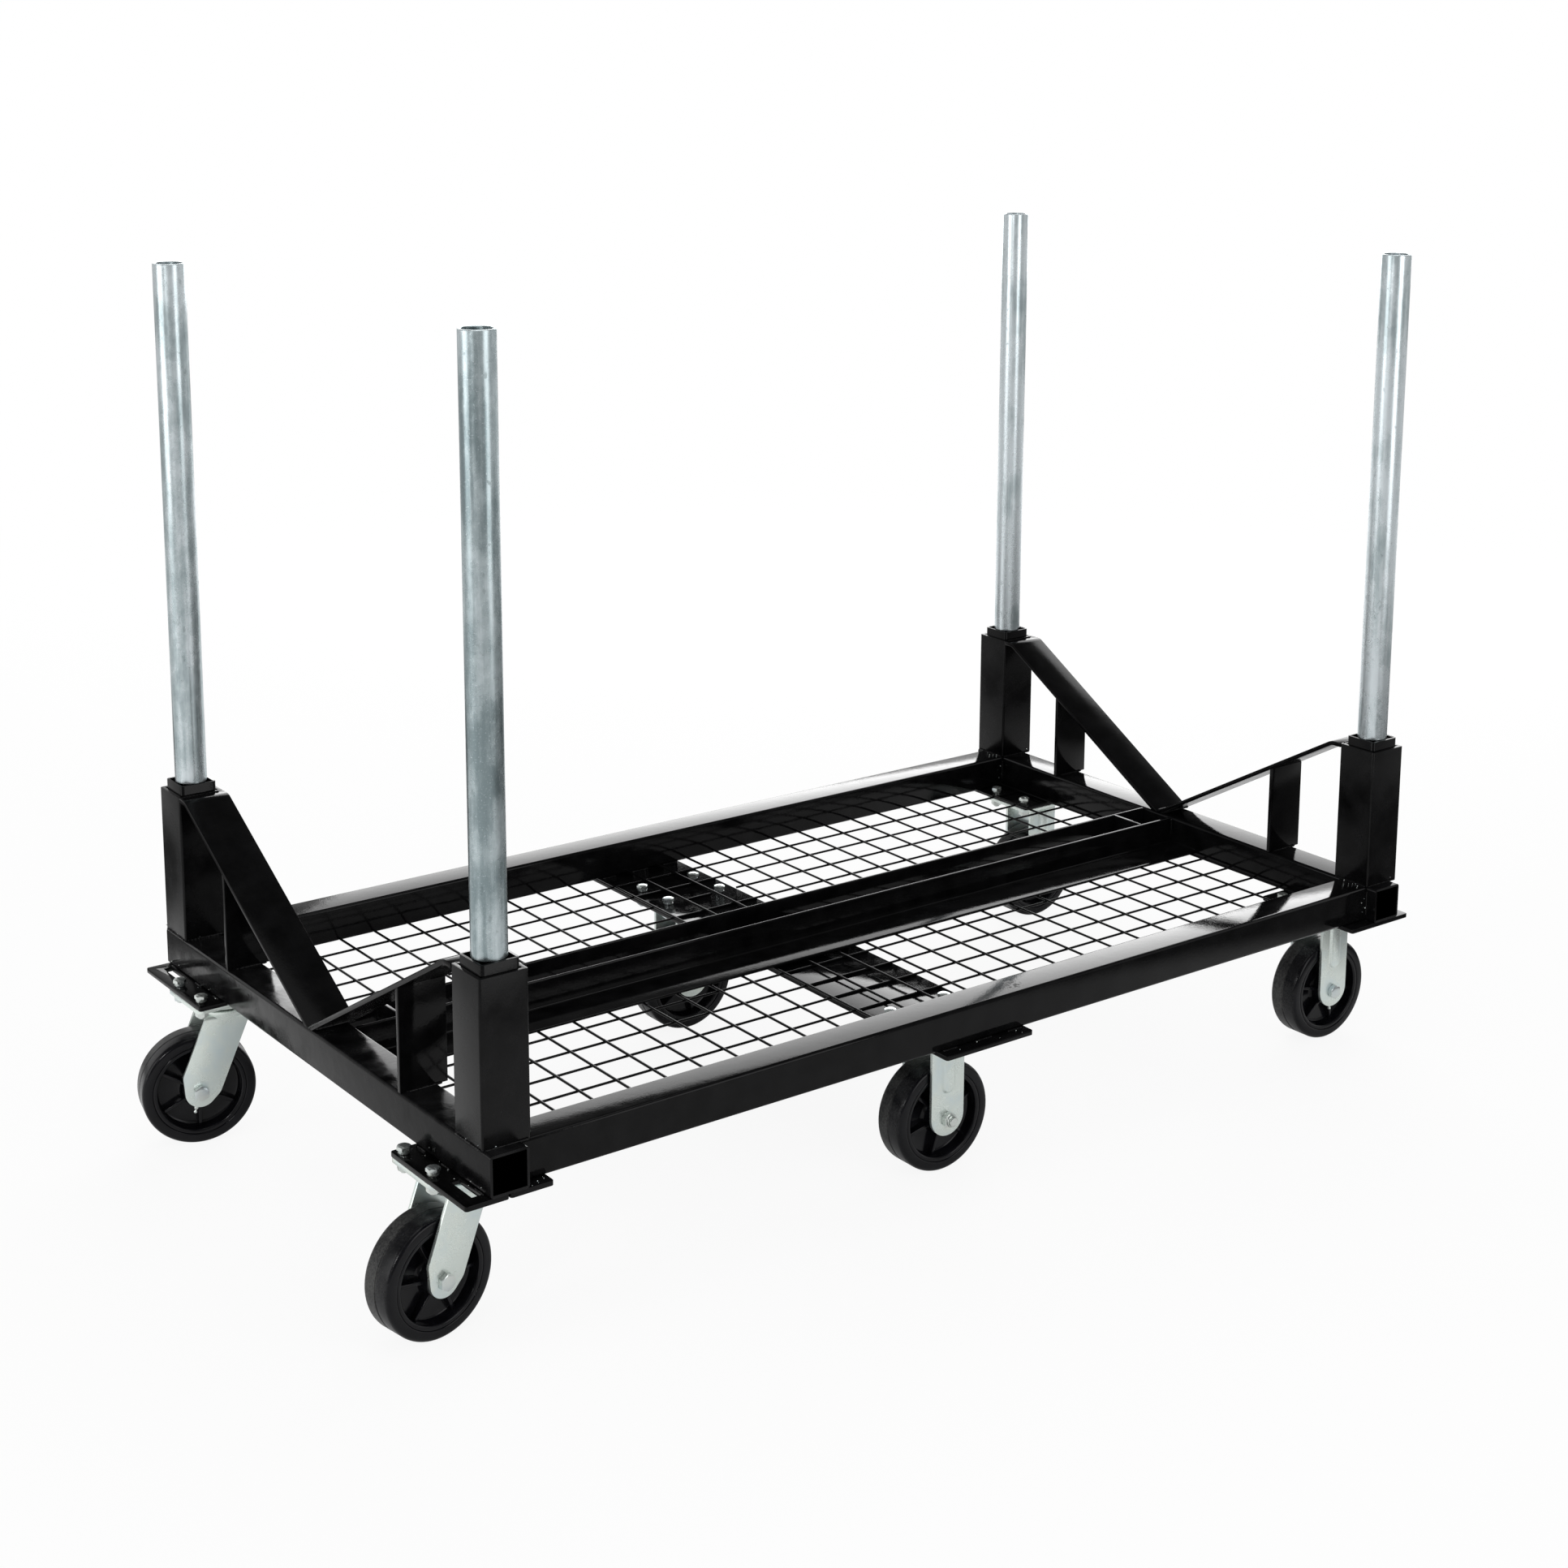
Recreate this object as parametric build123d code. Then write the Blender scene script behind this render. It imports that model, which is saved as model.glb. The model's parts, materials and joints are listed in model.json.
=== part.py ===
from build123d import *
import math
import os

os.makedirs("parts", exist_ok=True)

# Pipe cart, millimetres. X is the length, -Y the front, Z up from the floor.
# Drawn about the centre of the rectangle made by the two end tubes, and moved along X at the end
# so that the origin lies on the floor below the middle of the whole cart.

# How far a cutter runs past a face, and how near counts as the same place
past = 1.0
same_place = 0.01

# Frame
frame_length = 1524.0
frame_width = 889.0
tube_side = 50.8
tube_wall = 3.2
tube_corner = 6.5
least_corner = 0.8
front_setback = 16.7
back_setback = 12.7

# Corner posts, sleeves and stakes
post_side = 63.5
post_wall = 4.8
post_corner = 3.2
post_height = 203.2
sleeve_gap = 1.55
sleeve_wall = 3.175
sleeve_corner = 5.0
sleeve_rise = 12.7
stake_clearance = 1.1
stake_wall = 3.5
stake_length = 920.0

# V cradle
bar_thickness = 6.35
bar_level = 18.0
bar_landing = 10.0
bar_bend = 14.0
strut_reach = 240.0

# Trough in the middle of the bed
trough_gap = 57.15
angle_flange = 63.5
angle_thickness = 4.8
angle_root = 5.0
spacer_inset = 63.5
spacer_thickness = 5.0

# Bed mesh
wire = 3.5
mesh_pitch = 53.9
mesh_x = 3.8
mesh_y = 11.1

# Plates under the frame
plate_thickness = 6.35
plate_corner = 8.0
pad_length = 177.8
left_pad_gap = 1.5
right_pad_width = 120.0
mid_plate_width = 146.0
mid_plate_x = -26.0
slot_width = 12.0
slot_length = 49.0
slot_edge = 18.0
slot_gap = 2.0

# Caster places
swivel_front_in = 129.5
swivel_back_in = 122.5
rigid_front_in = 115.0
rigid_back_in = 122.5
mid_back_in = 176.5
right_caster_in = 11.6
swivel_front_turn = 8.5
swivel_back_turn = -13.0
spoke_turns = {
    "front_left": -55.0,
    "back_left": -30.0,
    "front_mid": -18.0,
    "back_mid": -41.0,
    "front_right": -48.0,
    "back_right": -9.0,
}

# Caster
wheel_diameter = 152.4
wheel_width = 48.0
caster_rise = 128.45
caster_plate_x = 114.3
caster_plate_y = 101.6
bolt_x = 92.1
bolt_y = 70.0
fork_thickness = 4.8
fork_side_gap = 0.5
hub_overhang = 2.0
fork_bend = 8.0
swivel_offset = 40.0
swivel_lean = 22.3
swivel_leg = 56.0
swivel_heel = 30.4
swivel_foot = 21.0
heel_height = 24.0
toe_height = -3.0
rigid_leg = 55.0
rigid_foot_rise = 4.0
race_height = 9.5
race_gap = 0.4
race_outer = 40.0
race_inner = 25.0
race_lip = 4.3
race_taper = 3.8
dish_inset = 2.0
dish_lip = 3.2
dish_depth = 17.0
dish_sink = 1.0
rib_width = 22.0
rib_depth = 2.4
rib_low = 37.0
rib_corner = 9.0

# Wheel
tyre_depth = 13.5
tyre_shoulder = 7.0
tread_groove = 1.2
tongue_width = 18.0
tongue_height = 3.0
bond_gap = 0.3
rim_depth = 6.0
rim_inset = 2.0
core_draft = 2.0
web_thickness = 12.0
spoke_count = 6
spoke_width = 5.0
spoke_inset = 7.0
spoke_root = 4.0
spoke_tip = 1.0
hub_diameter = 46.0
bushing_outer = 19.05
bushing_wall = 2.8
running_gap = 0.35

# Fasteners
caster_bolt = 9.5
caster_bolt_head = 14.3
caster_bolt_head_height = 6.2
caster_nut_height = 8.2
bolt_tail = 3.0
bolt_turn_step = 17.0
end_bolt_turn = 30.0
wire_room = 1.0
axle_head = 19.0
axle_head_height = 7.6
axle_nut_height = 11.0
axle_nut_turn = 11.0
axle_tail = 3.0
kingpin = 16.0
kingpin_nut = 24.0
kingpin_head = 25.0
kingpin_head_height = 3.5
hole_play = 0.4
thread_play = 0.1

# Heights
wheel_radius = wheel_diameter / 2
axle_z = wheel_radius
plate_top = axle_z + caster_rise
plate_under = plate_top - plate_thickness
frame_under = plate_top + plate_thickness
frame_top = frame_under + tube_side
post_top = frame_top + post_height
mesh_top = frame_under + 2 * wire

# Plan places
outer_x = frame_length / 2
inner_x = outer_x - tube_side
outer_y = frame_width / 2
front_face = -outer_y + front_setback
back_face = outer_y - back_setback
front_inner = front_face + tube_side
back_inner = back_face - tube_side
front_post_y = front_face + post_side / 2
back_post_y = outer_y - post_side / 2
left_post_x = -outer_x + post_side / 2
right_post_x = inner_x + post_side / 2
cradle_front = front_post_y + post_side / 2
cradle_back = back_post_y - post_side / 2
middle_y = (cradle_front + cradle_back) / 2
swivel_front_y = -outer_y + swivel_front_in
swivel_back_y = outer_y - swivel_back_in
rigid_front_y = -outer_y + rigid_front_in
rigid_back_y = outer_y - rigid_back_in
mid_back_y = outer_y - mid_back_in
left_caster_x = -outer_x + tube_side / 2
right_caster_x = outer_x - tube_side / 2 - right_caster_in
left_pad_width = (caster_plate_x - left_pad_gap) / 2


def block(x0, x1, y0, y1, z0, z1):
    box = Box(x1 - x0, y1 - y0, z1 - z0)
    return Pos((x0 + x1) / 2, (y0 + y1) / 2, (z0 + z1) / 2) * box


def rod(radius, z0, z1, x=0.0, y=0.0):
    return Pos(x, y, (z0 + z1) / 2) * Cylinder(radius, z1 - z0)


def ring(outer, inner, z0, z1, x=0.0, y=0.0):
    return rod(outer, z0, z1, x, y) - rod(inner, z0 - past, z1 + past, x, y)


def tube(side, wall, corner, length):
    # Square tube along Z with its foot at zero.
    inside = side - 2 * wall
    shell = RectangleRounded(side, side, corner)
    shell = shell - RectangleRounded(inside, inside, max(corner - wall, least_corner))
    return extrude(shell, length)


def plate(x0, x1, y0, y1, z0, thickness, corner):
    shape = RectangleRounded(x1 - x0, y1 - y0, corner)
    return Pos((x0 + x1) / 2, (y0 + y1) / 2, z0) * extrude(shape, thickness)


def hexagon(across, height, z0, x=0.0, y=0.0, turn=0.0):
    shape = RegularPolygon(across / 2, 6, major_radius=False)
    return Pos(x, y, z0) * Rot(0, 0, turn) * extrude(shape, height)


def along_x(points, x0, x1):
    # Profile in the YZ plane, extruded from x0 to x1.
    outline = [Vector(x0, y, z) for y, z in points]
    face = make_face(Polyline(*outline, close=True))
    return extrude(face, x1 - x0, dir=(1, 0, 0))


nodes = {}


def save(name, *solids):
    nodes[name] = [piece for solid in solids for piece in solid.solids()]


# Frame tubes
end_tube = Rot(-90, 0, 0) * tube(tube_side, tube_wall, tube_corner, frame_width)
side_tube = Rot(0, 90, 0) * tube(tube_side, tube_wall, tube_corner, 2 * inner_x)
tube_z = frame_under + tube_side / 2
save("end_tube_left", Pos(-outer_x + tube_side / 2, -outer_y, tube_z) * end_tube)
save("end_tube_right", Pos(outer_x - tube_side / 2, -outer_y, tube_z) * end_tube)
save("side_tube_front", Pos(-inner_x, front_face + tube_side / 2, tube_z) * side_tube)
save("side_tube_back", Pos(-inner_x, back_face - tube_side / 2, tube_z) * side_tube)

# Posts, sleeves and stakes
post = tube(post_side, post_wall, post_corner, post_height)
sleeve_side = post_side - 2 * (post_wall + sleeve_gap)
sleeve = tube(sleeve_side, sleeve_wall, sleeve_corner, post_height + sleeve_rise)
stake_radius = sleeve_side / 2 - sleeve_wall - stake_clearance
corners = {
    "front_left": (left_post_x, front_post_y),
    "front_right": (right_post_x, front_post_y),
    "back_left": (left_post_x, back_post_y),
    "back_right": (right_post_x, back_post_y),
}
sleeves = []
for corner, (x, y) in corners.items():
    save("post_" + corner, Pos(x, y, frame_top) * post)
    sleeves.append(Pos(x, y, frame_top) * sleeve)
    stake = ring(stake_radius, stake_radius - stake_wall, frame_top, frame_top + stake_length, x, y)
    save("stake_" + corner, stake)
save("stake_sleeves", *sleeves)

# V-bars: level beside the post, then straight down to the middle of the end tube
reach = cradle_back - bar_level - middle_y
drop = post_height
slope = 0.0
for step in range(20):
    skew = bar_thickness / math.cos(slope)
    slope = math.atan((drop - skew) / (reach - bar_landing))
tilt = math.tan(slope)


def bar_under(y):
    # Height of the bar's lower face at a distance y from the middle.
    return frame_top + (y - bar_landing) * tilt


def v_bar(side, x0, x1):
    bend_top = reach
    half = math.tan(slope / 2) * bar_thickness
    points = [
        (0, frame_top),
        (bar_landing, frame_top),
        (bend_top + half, post_top - bar_thickness),
        (cradle_back - middle_y, post_top - bar_thickness),
        (cradle_back - middle_y, post_top),
        (bend_top, post_top),
        (0, bar_under(0) + bar_thickness / math.cos(slope)),
    ]
    bar = along_x([(middle_y + side * y, z) for y, z in points], x0, x1)
    upper = [e for e in bar.edges().filter_by(Axis.X)
             if abs(e.center().Z - post_top) < same_place
             and abs(abs(e.center().Y - middle_y) - bend_top) < same_place]
    bar = fillet(upper, bar_bend + bar_thickness)
    lower = [e for e in bar.edges().filter_by(Axis.X)
             if abs(e.center().Z - post_top + bar_thickness) < same_place
             and abs(abs(e.center().Y - middle_y) - bend_top - half) < same_place]
    return fillet(lower, bar_bend)


def strut(side, x0, x1):
    near = strut_reach - bar_thickness / 2
    far = strut_reach + bar_thickness / 2
    points = [(near, frame_top), (far, frame_top), (far, bar_under(far)), (near, bar_under(near))]
    return along_x([(middle_y + side * y, z) for y, z in points], x0, x1)


struts = []
for name, x in (("left", left_post_x), ("right", right_post_x)):
    x0 = x - post_side / 2
    x1 = x + post_side / 2
    save("v_bars_" + name, v_bar(-1, x0, x1), v_bar(1, x0, x1))
    struts += [strut(-1, x0, x1), strut(1, x0, x1)]
save("v_bar_struts", *struts)


# Trough: two angles on the mesh, with spacer plates near the ends
def angle(side):
    inner = trough_gap / 2
    points = [
        (inner, mesh_top),
        (inner + angle_flange, mesh_top),
        (inner + angle_flange, mesh_top + angle_thickness),
        (inner + angle_thickness, mesh_top + angle_thickness),
        (inner + angle_thickness, frame_top),
        (inner, frame_top),
    ]
    solid = along_x([(middle_y + side * y, z) for y, z in points], -inner_x, inner_x)
    root = [e for e in solid.edges().filter_by(Axis.X)
            if abs(e.center().Z - mesh_top - angle_thickness) < same_place
            and abs(abs(e.center().Y - middle_y) - inner - angle_thickness) < same_place]
    return fillet(root, angle_root)


save("centre_angle_front", angle(-1))
save("centre_angle_back", angle(1))
spacers = []
for side in (-1, 1):
    x = side * (inner_x - spacer_inset)
    half = spacer_thickness / 2
    spacers.append(block(x - half, x + half, middle_y - trough_gap / 2, middle_y + trough_gap / 2,
                         mesh_top, frame_top))
save("trough_spacers", *spacers)


# Bed mesh: two layers of round wire between the tubes
def wire_places(start, low, high):
    first = math.ceil((low + wire - start) / mesh_pitch)
    last = math.floor((high - wire - start) / mesh_pitch)
    return [start + mesh_pitch * n for n in range(first, last + 1)]


long_wire = Rot(0, 90, 0) * Cylinder(wire / 2, 2 * inner_x)
cross_wire = Rot(90, 0, 0) * Cylinder(wire / 2, back_inner - front_inner)
wires = []
for y in wire_places(mesh_y, front_inner, back_inner):
    wires.append(Pos(0, y, frame_under + wire / 2) * long_wire)
for x in wire_places(mesh_x, -inner_x, inner_x):
    wires.append(Pos(x, (front_inner + back_inner) / 2, frame_under + wire * 1.5) * cross_wire)

# Caster places: name, x, y, turn of the rest pose, kind
casters = [
    ("front_left", left_caster_x, swivel_front_y, swivel_front_turn, "swivel"),
    ("back_left", left_caster_x, swivel_back_y, swivel_back_turn, "swivel"),
    ("front_mid", mid_plate_x, rigid_front_y, 0.0, "rigid"),
    ("back_mid", mid_plate_x, mid_back_y, 0.0, "rigid"),
    ("front_right", right_caster_x, rigid_front_y, 0.0, "rigid"),
    ("back_right", right_caster_x, rigid_back_y, 0.0, "rigid"),
]
hole_radius = caster_bolt / 2 + hole_play


def bolt_places(x, y):
    return [(x + sx * bolt_x / 2, y + sy * bolt_y / 2) for sx in (-1, 1) for sy in (-1, 1)]


def drilled(solid, z0, z1):
    box = solid.bounding_box()
    for name, x, y, turn, kind in casters:
        for px, py in bolt_places(x, y):
            if box.min.X < px < box.max.X and box.min.Y < py < box.max.Y:
                solid = solid - rod(hole_radius, z0 - past, z1 + past, px, py)
    return solid


# Wires are cut away round the bolt heads
head_room = caster_bolt_head / 2 / math.cos(math.pi / 6) + wire_room
cut_wires = []
for strand in wires:
    box = strand.bounding_box()
    for name, x, y, turn, kind in casters:
        for px, py in bolt_places(x, y):
            near_x = box.min.X - head_room < px < box.max.X + head_room
            near_y = box.min.Y - head_room < py < box.max.Y + head_room
            if near_x and near_y:
                strand = strand - rod(head_room, frame_under - past, mesh_top + past, px, py)
    cut_wires.append(strand)
save("bed_mesh", *cut_wires)

# Plates under the frame
outer_pads = []
inner_pads = []
right_pads = []
for side in (-1, 1):
    y0 = min(side * outer_y, side * (outer_y - pad_length))
    y1 = y0 + pad_length
    edge = left_caster_x - left_pad_gap / 2
    pad = plate(edge - left_pad_width, edge, y0, y1, plate_top, plate_thickness, plate_corner)
    slot_y = side * (outer_y - slot_edge - slot_length / 2)
    slot_x = -outer_x - slot_gap - slot_width / 2
    slot = block(slot_x - slot_width / 2, slot_x + slot_width / 2, slot_y - slot_length / 2,
                 slot_y + slot_length / 2, plate_top - past, frame_under + past)
    outer_pads.append(drilled(pad - slot, plate_top, frame_under))
    edge = left_caster_x + left_pad_gap / 2
    pad = plate(edge, edge + left_pad_width, y0, y1, plate_top, plate_thickness, plate_corner)
    inner_pads.append(drilled(pad, plate_top, frame_under))
    edge = right_caster_x - right_pad_width / 2
    pad = plate(edge, edge + right_pad_width, y0, y1, plate_top, plate_thickness, plate_corner)
    right_pads.append(drilled(pad, plate_top, frame_under))
save("left_outer_pads", *outer_pads)
save("left_inner_pads", *inner_pads)
save("right_pads", *right_pads)
half = mid_plate_width / 2
mid_plate = plate(mid_plate_x - half, mid_plate_x + half, -outer_y, back_face, plate_top,
                  plate_thickness, plate_corner)
save("mid_cross_plate", drilled(mid_plate, plate_top, frame_under))

# Caster bolts and nuts
bolts = []
nuts = []
for name, x, y, turn, kind in casters:
    for number, (px, py) in enumerate(bolt_places(x, y)):
        spin = bolt_turn_step * number
        if abs(px) > inner_x:
            spin = end_bolt_turn
        head = hexagon(caster_bolt_head, caster_bolt_head_height, frame_under, px, py, spin)
        foot = plate_under - caster_nut_height - bolt_tail
        bolts.append(head + rod(caster_bolt / 2, foot, frame_under + past, px, py))
        nut = hexagon(caster_bolt_head, caster_nut_height, plate_under - caster_nut_height, px, py, spin)
        nuts.append(nut - rod(caster_bolt / 2 + thread_play, foot, plate_under + past, px, py))
save("caster_bolts", *bolts)
save("caster_nuts", *nuts)

# Wheel: built about the Y axis, centre at the origin
hub_length = wheel_width + 2 * hub_overhang
fork_inner = hub_length / 2 + fork_side_gap
fork_outer = fork_inner + fork_thickness
core_radius = wheel_radius - tyre_depth
half_width = wheel_width / 2
bushing_radius = bushing_outer / 2
bore_radius = bushing_radius + running_gap


def lathe(points, shoulder=0.0):
    # Revolve a closed outline of (radius, y) about the Y axis, with its two outer corners rounded.
    outline = [Vector(r, y, 0) for r, y in points]
    face = make_face(Polyline(*outline, close=True))
    if shoulder > 0:
        rims = face.vertices().group_by(Axis.X)[-1].sort_by(Axis.Y)
        face = fillet([rims[0], rims[-1]], shoulder)
    return revolve(face, Axis.Y)


def tyre():
    seat = core_radius + bond_gap
    tongue = tongue_width / 2
    points = [
        (seat, -half_width),
        (wheel_radius, -half_width),
        (wheel_radius, -tread_groove),
        (wheel_radius - tread_groove, 0),
        (wheel_radius, tread_groove),
        (wheel_radius, half_width),
        (seat, half_width),
        (seat, tongue),
        (seat + tongue_height, tongue),
        (seat + tongue_height, -tongue),
        (seat, -tongue),
    ]
    return lathe(points, tyre_shoulder)


def core():
    tongue = tongue_width / 2
    side = half_width - rim_inset
    inner = core_radius - rim_depth
    hub = hub_diameter / 2
    web = web_thickness / 2
    end = hub_length / 2
    points = [
        (bore_radius, -end),
        (hub - core_draft, -end),
        (hub, -web),
        (inner - core_draft, -web),
        (inner, -side),
        (core_radius, -side),
        (core_radius, -tongue),
        (core_radius + tongue_height, -tongue),
        (core_radius + tongue_height, tongue),
        (core_radius, tongue),
        (core_radius, side),
        (inner, side),
        (inner - core_draft, web),
        (hub, web),
        (hub - core_draft, end),
        (bore_radius, end),
    ]
    solid = lathe(points)
    depth = 2 * (side - spoke_inset)
    start = hub - spoke_root
    stop = inner + spoke_tip
    spoke = Pos((start + stop) / 2, 0, 0) * Box(stop - start, depth, spoke_width)
    for number in range(spoke_count):
        solid = solid + Rot(0, 360.0 / spoke_count * number, 0) * spoke
    return solid


wheel_tyre = tyre()
wheel_core = core()

# Axle pieces about the Y axis
bolt_radius = bushing_radius - bushing_wall - running_gap
leg_hole = bolt_radius + running_gap
to_y = Rot(-90, 0, 0)
bushing = to_y * ring(bushing_radius, bolt_radius + running_gap, -fork_inner, fork_inner)
grip = fork_outer + axle_nut_height + axle_tail
axle_bolt = to_y * (hexagon(axle_head, axle_head_height, -fork_outer - axle_head_height)
                    + rod(bolt_radius, -fork_outer - past, grip))
axle_nut = to_y * (hexagon(axle_head, axle_nut_height, fork_outer, turn=axle_nut_turn)
                   - rod(bolt_radius + thread_play, 0, grip + past))

# Rigid fork: top plate with a bent strap below it, ribbed legs
crown_z = plate_under - axle_z
top_z = plate_top - axle_z


def bent_strap(outline, top):
    # Strap bent over the wheel: a channel section along X, cut to the legs' outline in the XZ plane.
    depth = top + wheel_radius
    section = Pos(0, top - depth / 2) * RectangleRounded(2 * fork_outer, depth, fork_bend)
    room = Pos(0, top - fork_thickness - depth / 2)
    section = section - room * RectangleRounded(2 * fork_inner, depth, fork_bend - fork_thickness)
    channel = extrude(Plane.YZ * section, wheel_diameter, both=True)
    legs = extrude(Plane.XZ * (outline - Circle(leg_hole)), fork_outer, both=True)
    return channel & legs


def rigid_fork():
    half = rigid_leg / 2
    sides = make_face(Polyline((-half, rigid_foot_rise), (half, rigid_foot_rise), (half, crown_z),
                               (-half, crown_z), close=True))
    solid = bent_strap(Pos(0, rigid_foot_rise) * Circle(half) + sides, crown_z)
    high = crown_z - fork_bend
    for side in (-1, 1):
        y0 = min(side * (fork_outer - past), side * (fork_outer + rib_depth))
        rib = block(-rib_width / 2, rib_width / 2, y0, y0 + rib_depth + past, rib_low, high)
        ends = rib.edges().filter_by(Axis.Y)
        solid = solid + fillet(ends, rib_corner)
    half_x = caster_plate_x / 2
    half_y = caster_plate_y / 2
    top = plate(-half_x, half_x, -half_y, half_y, crown_z, plate_thickness, plate_corner)
    for px, py in bolt_places(0, 0):
        top = top - rod(hole_radius, crown_z - past, top_z + past, px, py)
    return solid + top


# Swivel caster: fixed top plate with its race and kingpin, turning fork
race_under = crown_z - race_height
swivel_crown = race_under - race_gap
pin_radius = kingpin / 2


def swivel_plate():
    half_x = caster_plate_x / 2
    half_y = caster_plate_y / 2
    top = plate(-half_x, half_x, -half_y, half_y, crown_z, plate_thickness, plate_corner)
    for px, py in bolt_places(0, 0):
        top = top - rod(hole_radius, crown_z - past, top_z + past, px, py)
    top = top - rod(pin_radius + hole_play, crown_z - past, top_z + past)
    return top - rod(kingpin_head / 2 + hole_play, top_z - kingpin_head_height, top_z + past)


def swivel_race():
    points = [
        (race_inner, crown_z),
        (race_outer, crown_z),
        (race_outer, crown_z - race_lip),
        (race_outer - race_taper, race_under),
        (race_inner, race_under),
    ]
    outline = [Vector(r, 0, z) for r, z in points]
    return revolve(make_face(Polyline(*outline, close=True)), Axis.Z)


def swivel_pin():
    foot = swivel_crown - fork_thickness - race_gap - axle_nut_height
    pin = rod(pin_radius, foot, top_z - kingpin_head_height + past)
    pin = pin + rod(kingpin_head / 2, top_z - kingpin_head_height, top_z)
    return pin + hexagon(kingpin_nut, axle_nut_height, foot)


def crown_dish():
    # Round pressed crown of the turning fork, under the race, about the kingpin.
    high = swivel_crown
    wide = race_outer - dish_inset
    foot = fork_outer - dish_sink
    points = [
        (0, high),
        (wide, high),
        (wide, high - dish_lip),
        (foot, high - dish_depth),
        (foot - fork_thickness, high - dish_depth),
        (wide - fork_thickness, high - fork_thickness),
        (0, high - fork_thickness),
    ]
    outline = [Vector(r, 0, z) for r, z in points]
    return revolve(make_face(Polyline(*outline, close=True)), Axis.Z)


def touch(x, z, way):
    # Where a line from a corner touches the round foot.
    turn = math.atan2(z, x) + way * math.acos(swivel_foot / math.hypot(x, z))
    return swivel_foot * math.cos(turn), swivel_foot * math.sin(turn)


def swivel_fork():
    # The axle is the local origin; the kingpin stands at +swivel_offset along X.
    lean = math.radians(swivel_lean)

    def leg_x(inset, z):
        # Place at a height z on a line that leans with the leg, inset from its heel side.
        return (z * math.sin(lean) + inset - swivel_heel) / math.cos(lean)

    heel = (leg_x(0, heel_height), heel_height)
    toe = (leg_x(swivel_leg, toe_height), toe_height)
    sides = make_face(Polyline(touch(*heel, 1), heel, (leg_x(0, swivel_crown), swivel_crown),
                               (leg_x(swivel_leg, swivel_crown), swivel_crown), toe, touch(*toe, -1),
                               close=True))
    solid = bent_strap(Circle(swivel_foot) + sides, swivel_crown)
    solid = solid + Pos(swivel_offset, 0, 0) * crown_dish()
    hole = rod(pin_radius + hole_play, swivel_crown - dish_depth, swivel_crown + past, swivel_offset, 0)
    return solid - hole


fork_rigid = rigid_fork()
fork_swivel = swivel_fork()
top_swivel = swivel_plate()
race_swivel = swivel_race()
pin_swivel = swivel_pin()

# Place the casters
flip = Rot(0, 0, 180)
swivel_tops = []
races = []
pins = []
rigid_bolts = []
rigid_nuts = []
rigid_bushings = []
for name, x, y, turn, kind in casters:
    place = Pos(x, y, axle_z)
    if kind == "swivel":
        swivel_tops.append(place * top_swivel)
        races.append(place * race_swivel)
        pins.append(place * pin_swivel)
        place = place * Rot(0, 0, turn) * Pos(-swivel_offset, 0, 0)
        save("fork_" + name, place * fork_swivel)
        save("axle_bolt_" + name, place * axle_bolt)
        save("axle_nut_" + name, place * axle_nut)
        save("bushing_" + name, place * bushing)
    else:
        save("fork_" + name, place * fork_rigid)
        way = place
        if name == "front_mid":
            way = place * flip
        rigid_bolts.append(way * axle_bolt)
        rigid_nuts.append(way * axle_nut)
        rigid_bushings.append(place * bushing)
    rolled = place * Rot(0, spoke_turns[name], 0)
    save("tyre_" + name, rolled * wheel_tyre)
    save("core_" + name, rolled * wheel_core)
save("swivel_plates", *swivel_tops)
save("swivel_races", *races)
save("kingpins", *pins)
save("rigid_axle_bolts", *rigid_bolts)
save("rigid_axle_nuts", *rigid_nuts)
save("rigid_bushings", *rigid_bushings)

# Centre the cart on the origin and write one file per node
boxes = [piece.bounding_box() for pieces in nodes.values() for piece in pieces]
low_x = min(box.min.X for box in boxes)
high_x = max(box.max.X for box in boxes)
shift = -(low_x + high_x) / 2
for name, pieces in nodes.items():
    moved = [Pos(shift, 0, 0) * piece for piece in pieces]
    if len(moved) == 1:
        shape = moved[0]
    else:
        shape = Compound(children=moved)
    shape.label = name
    export_step(shape, "parts/" + name + ".step")
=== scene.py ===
import json
import math
import bmesh
import bpy
from mathutils import Matrix, Vector, noise


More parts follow.
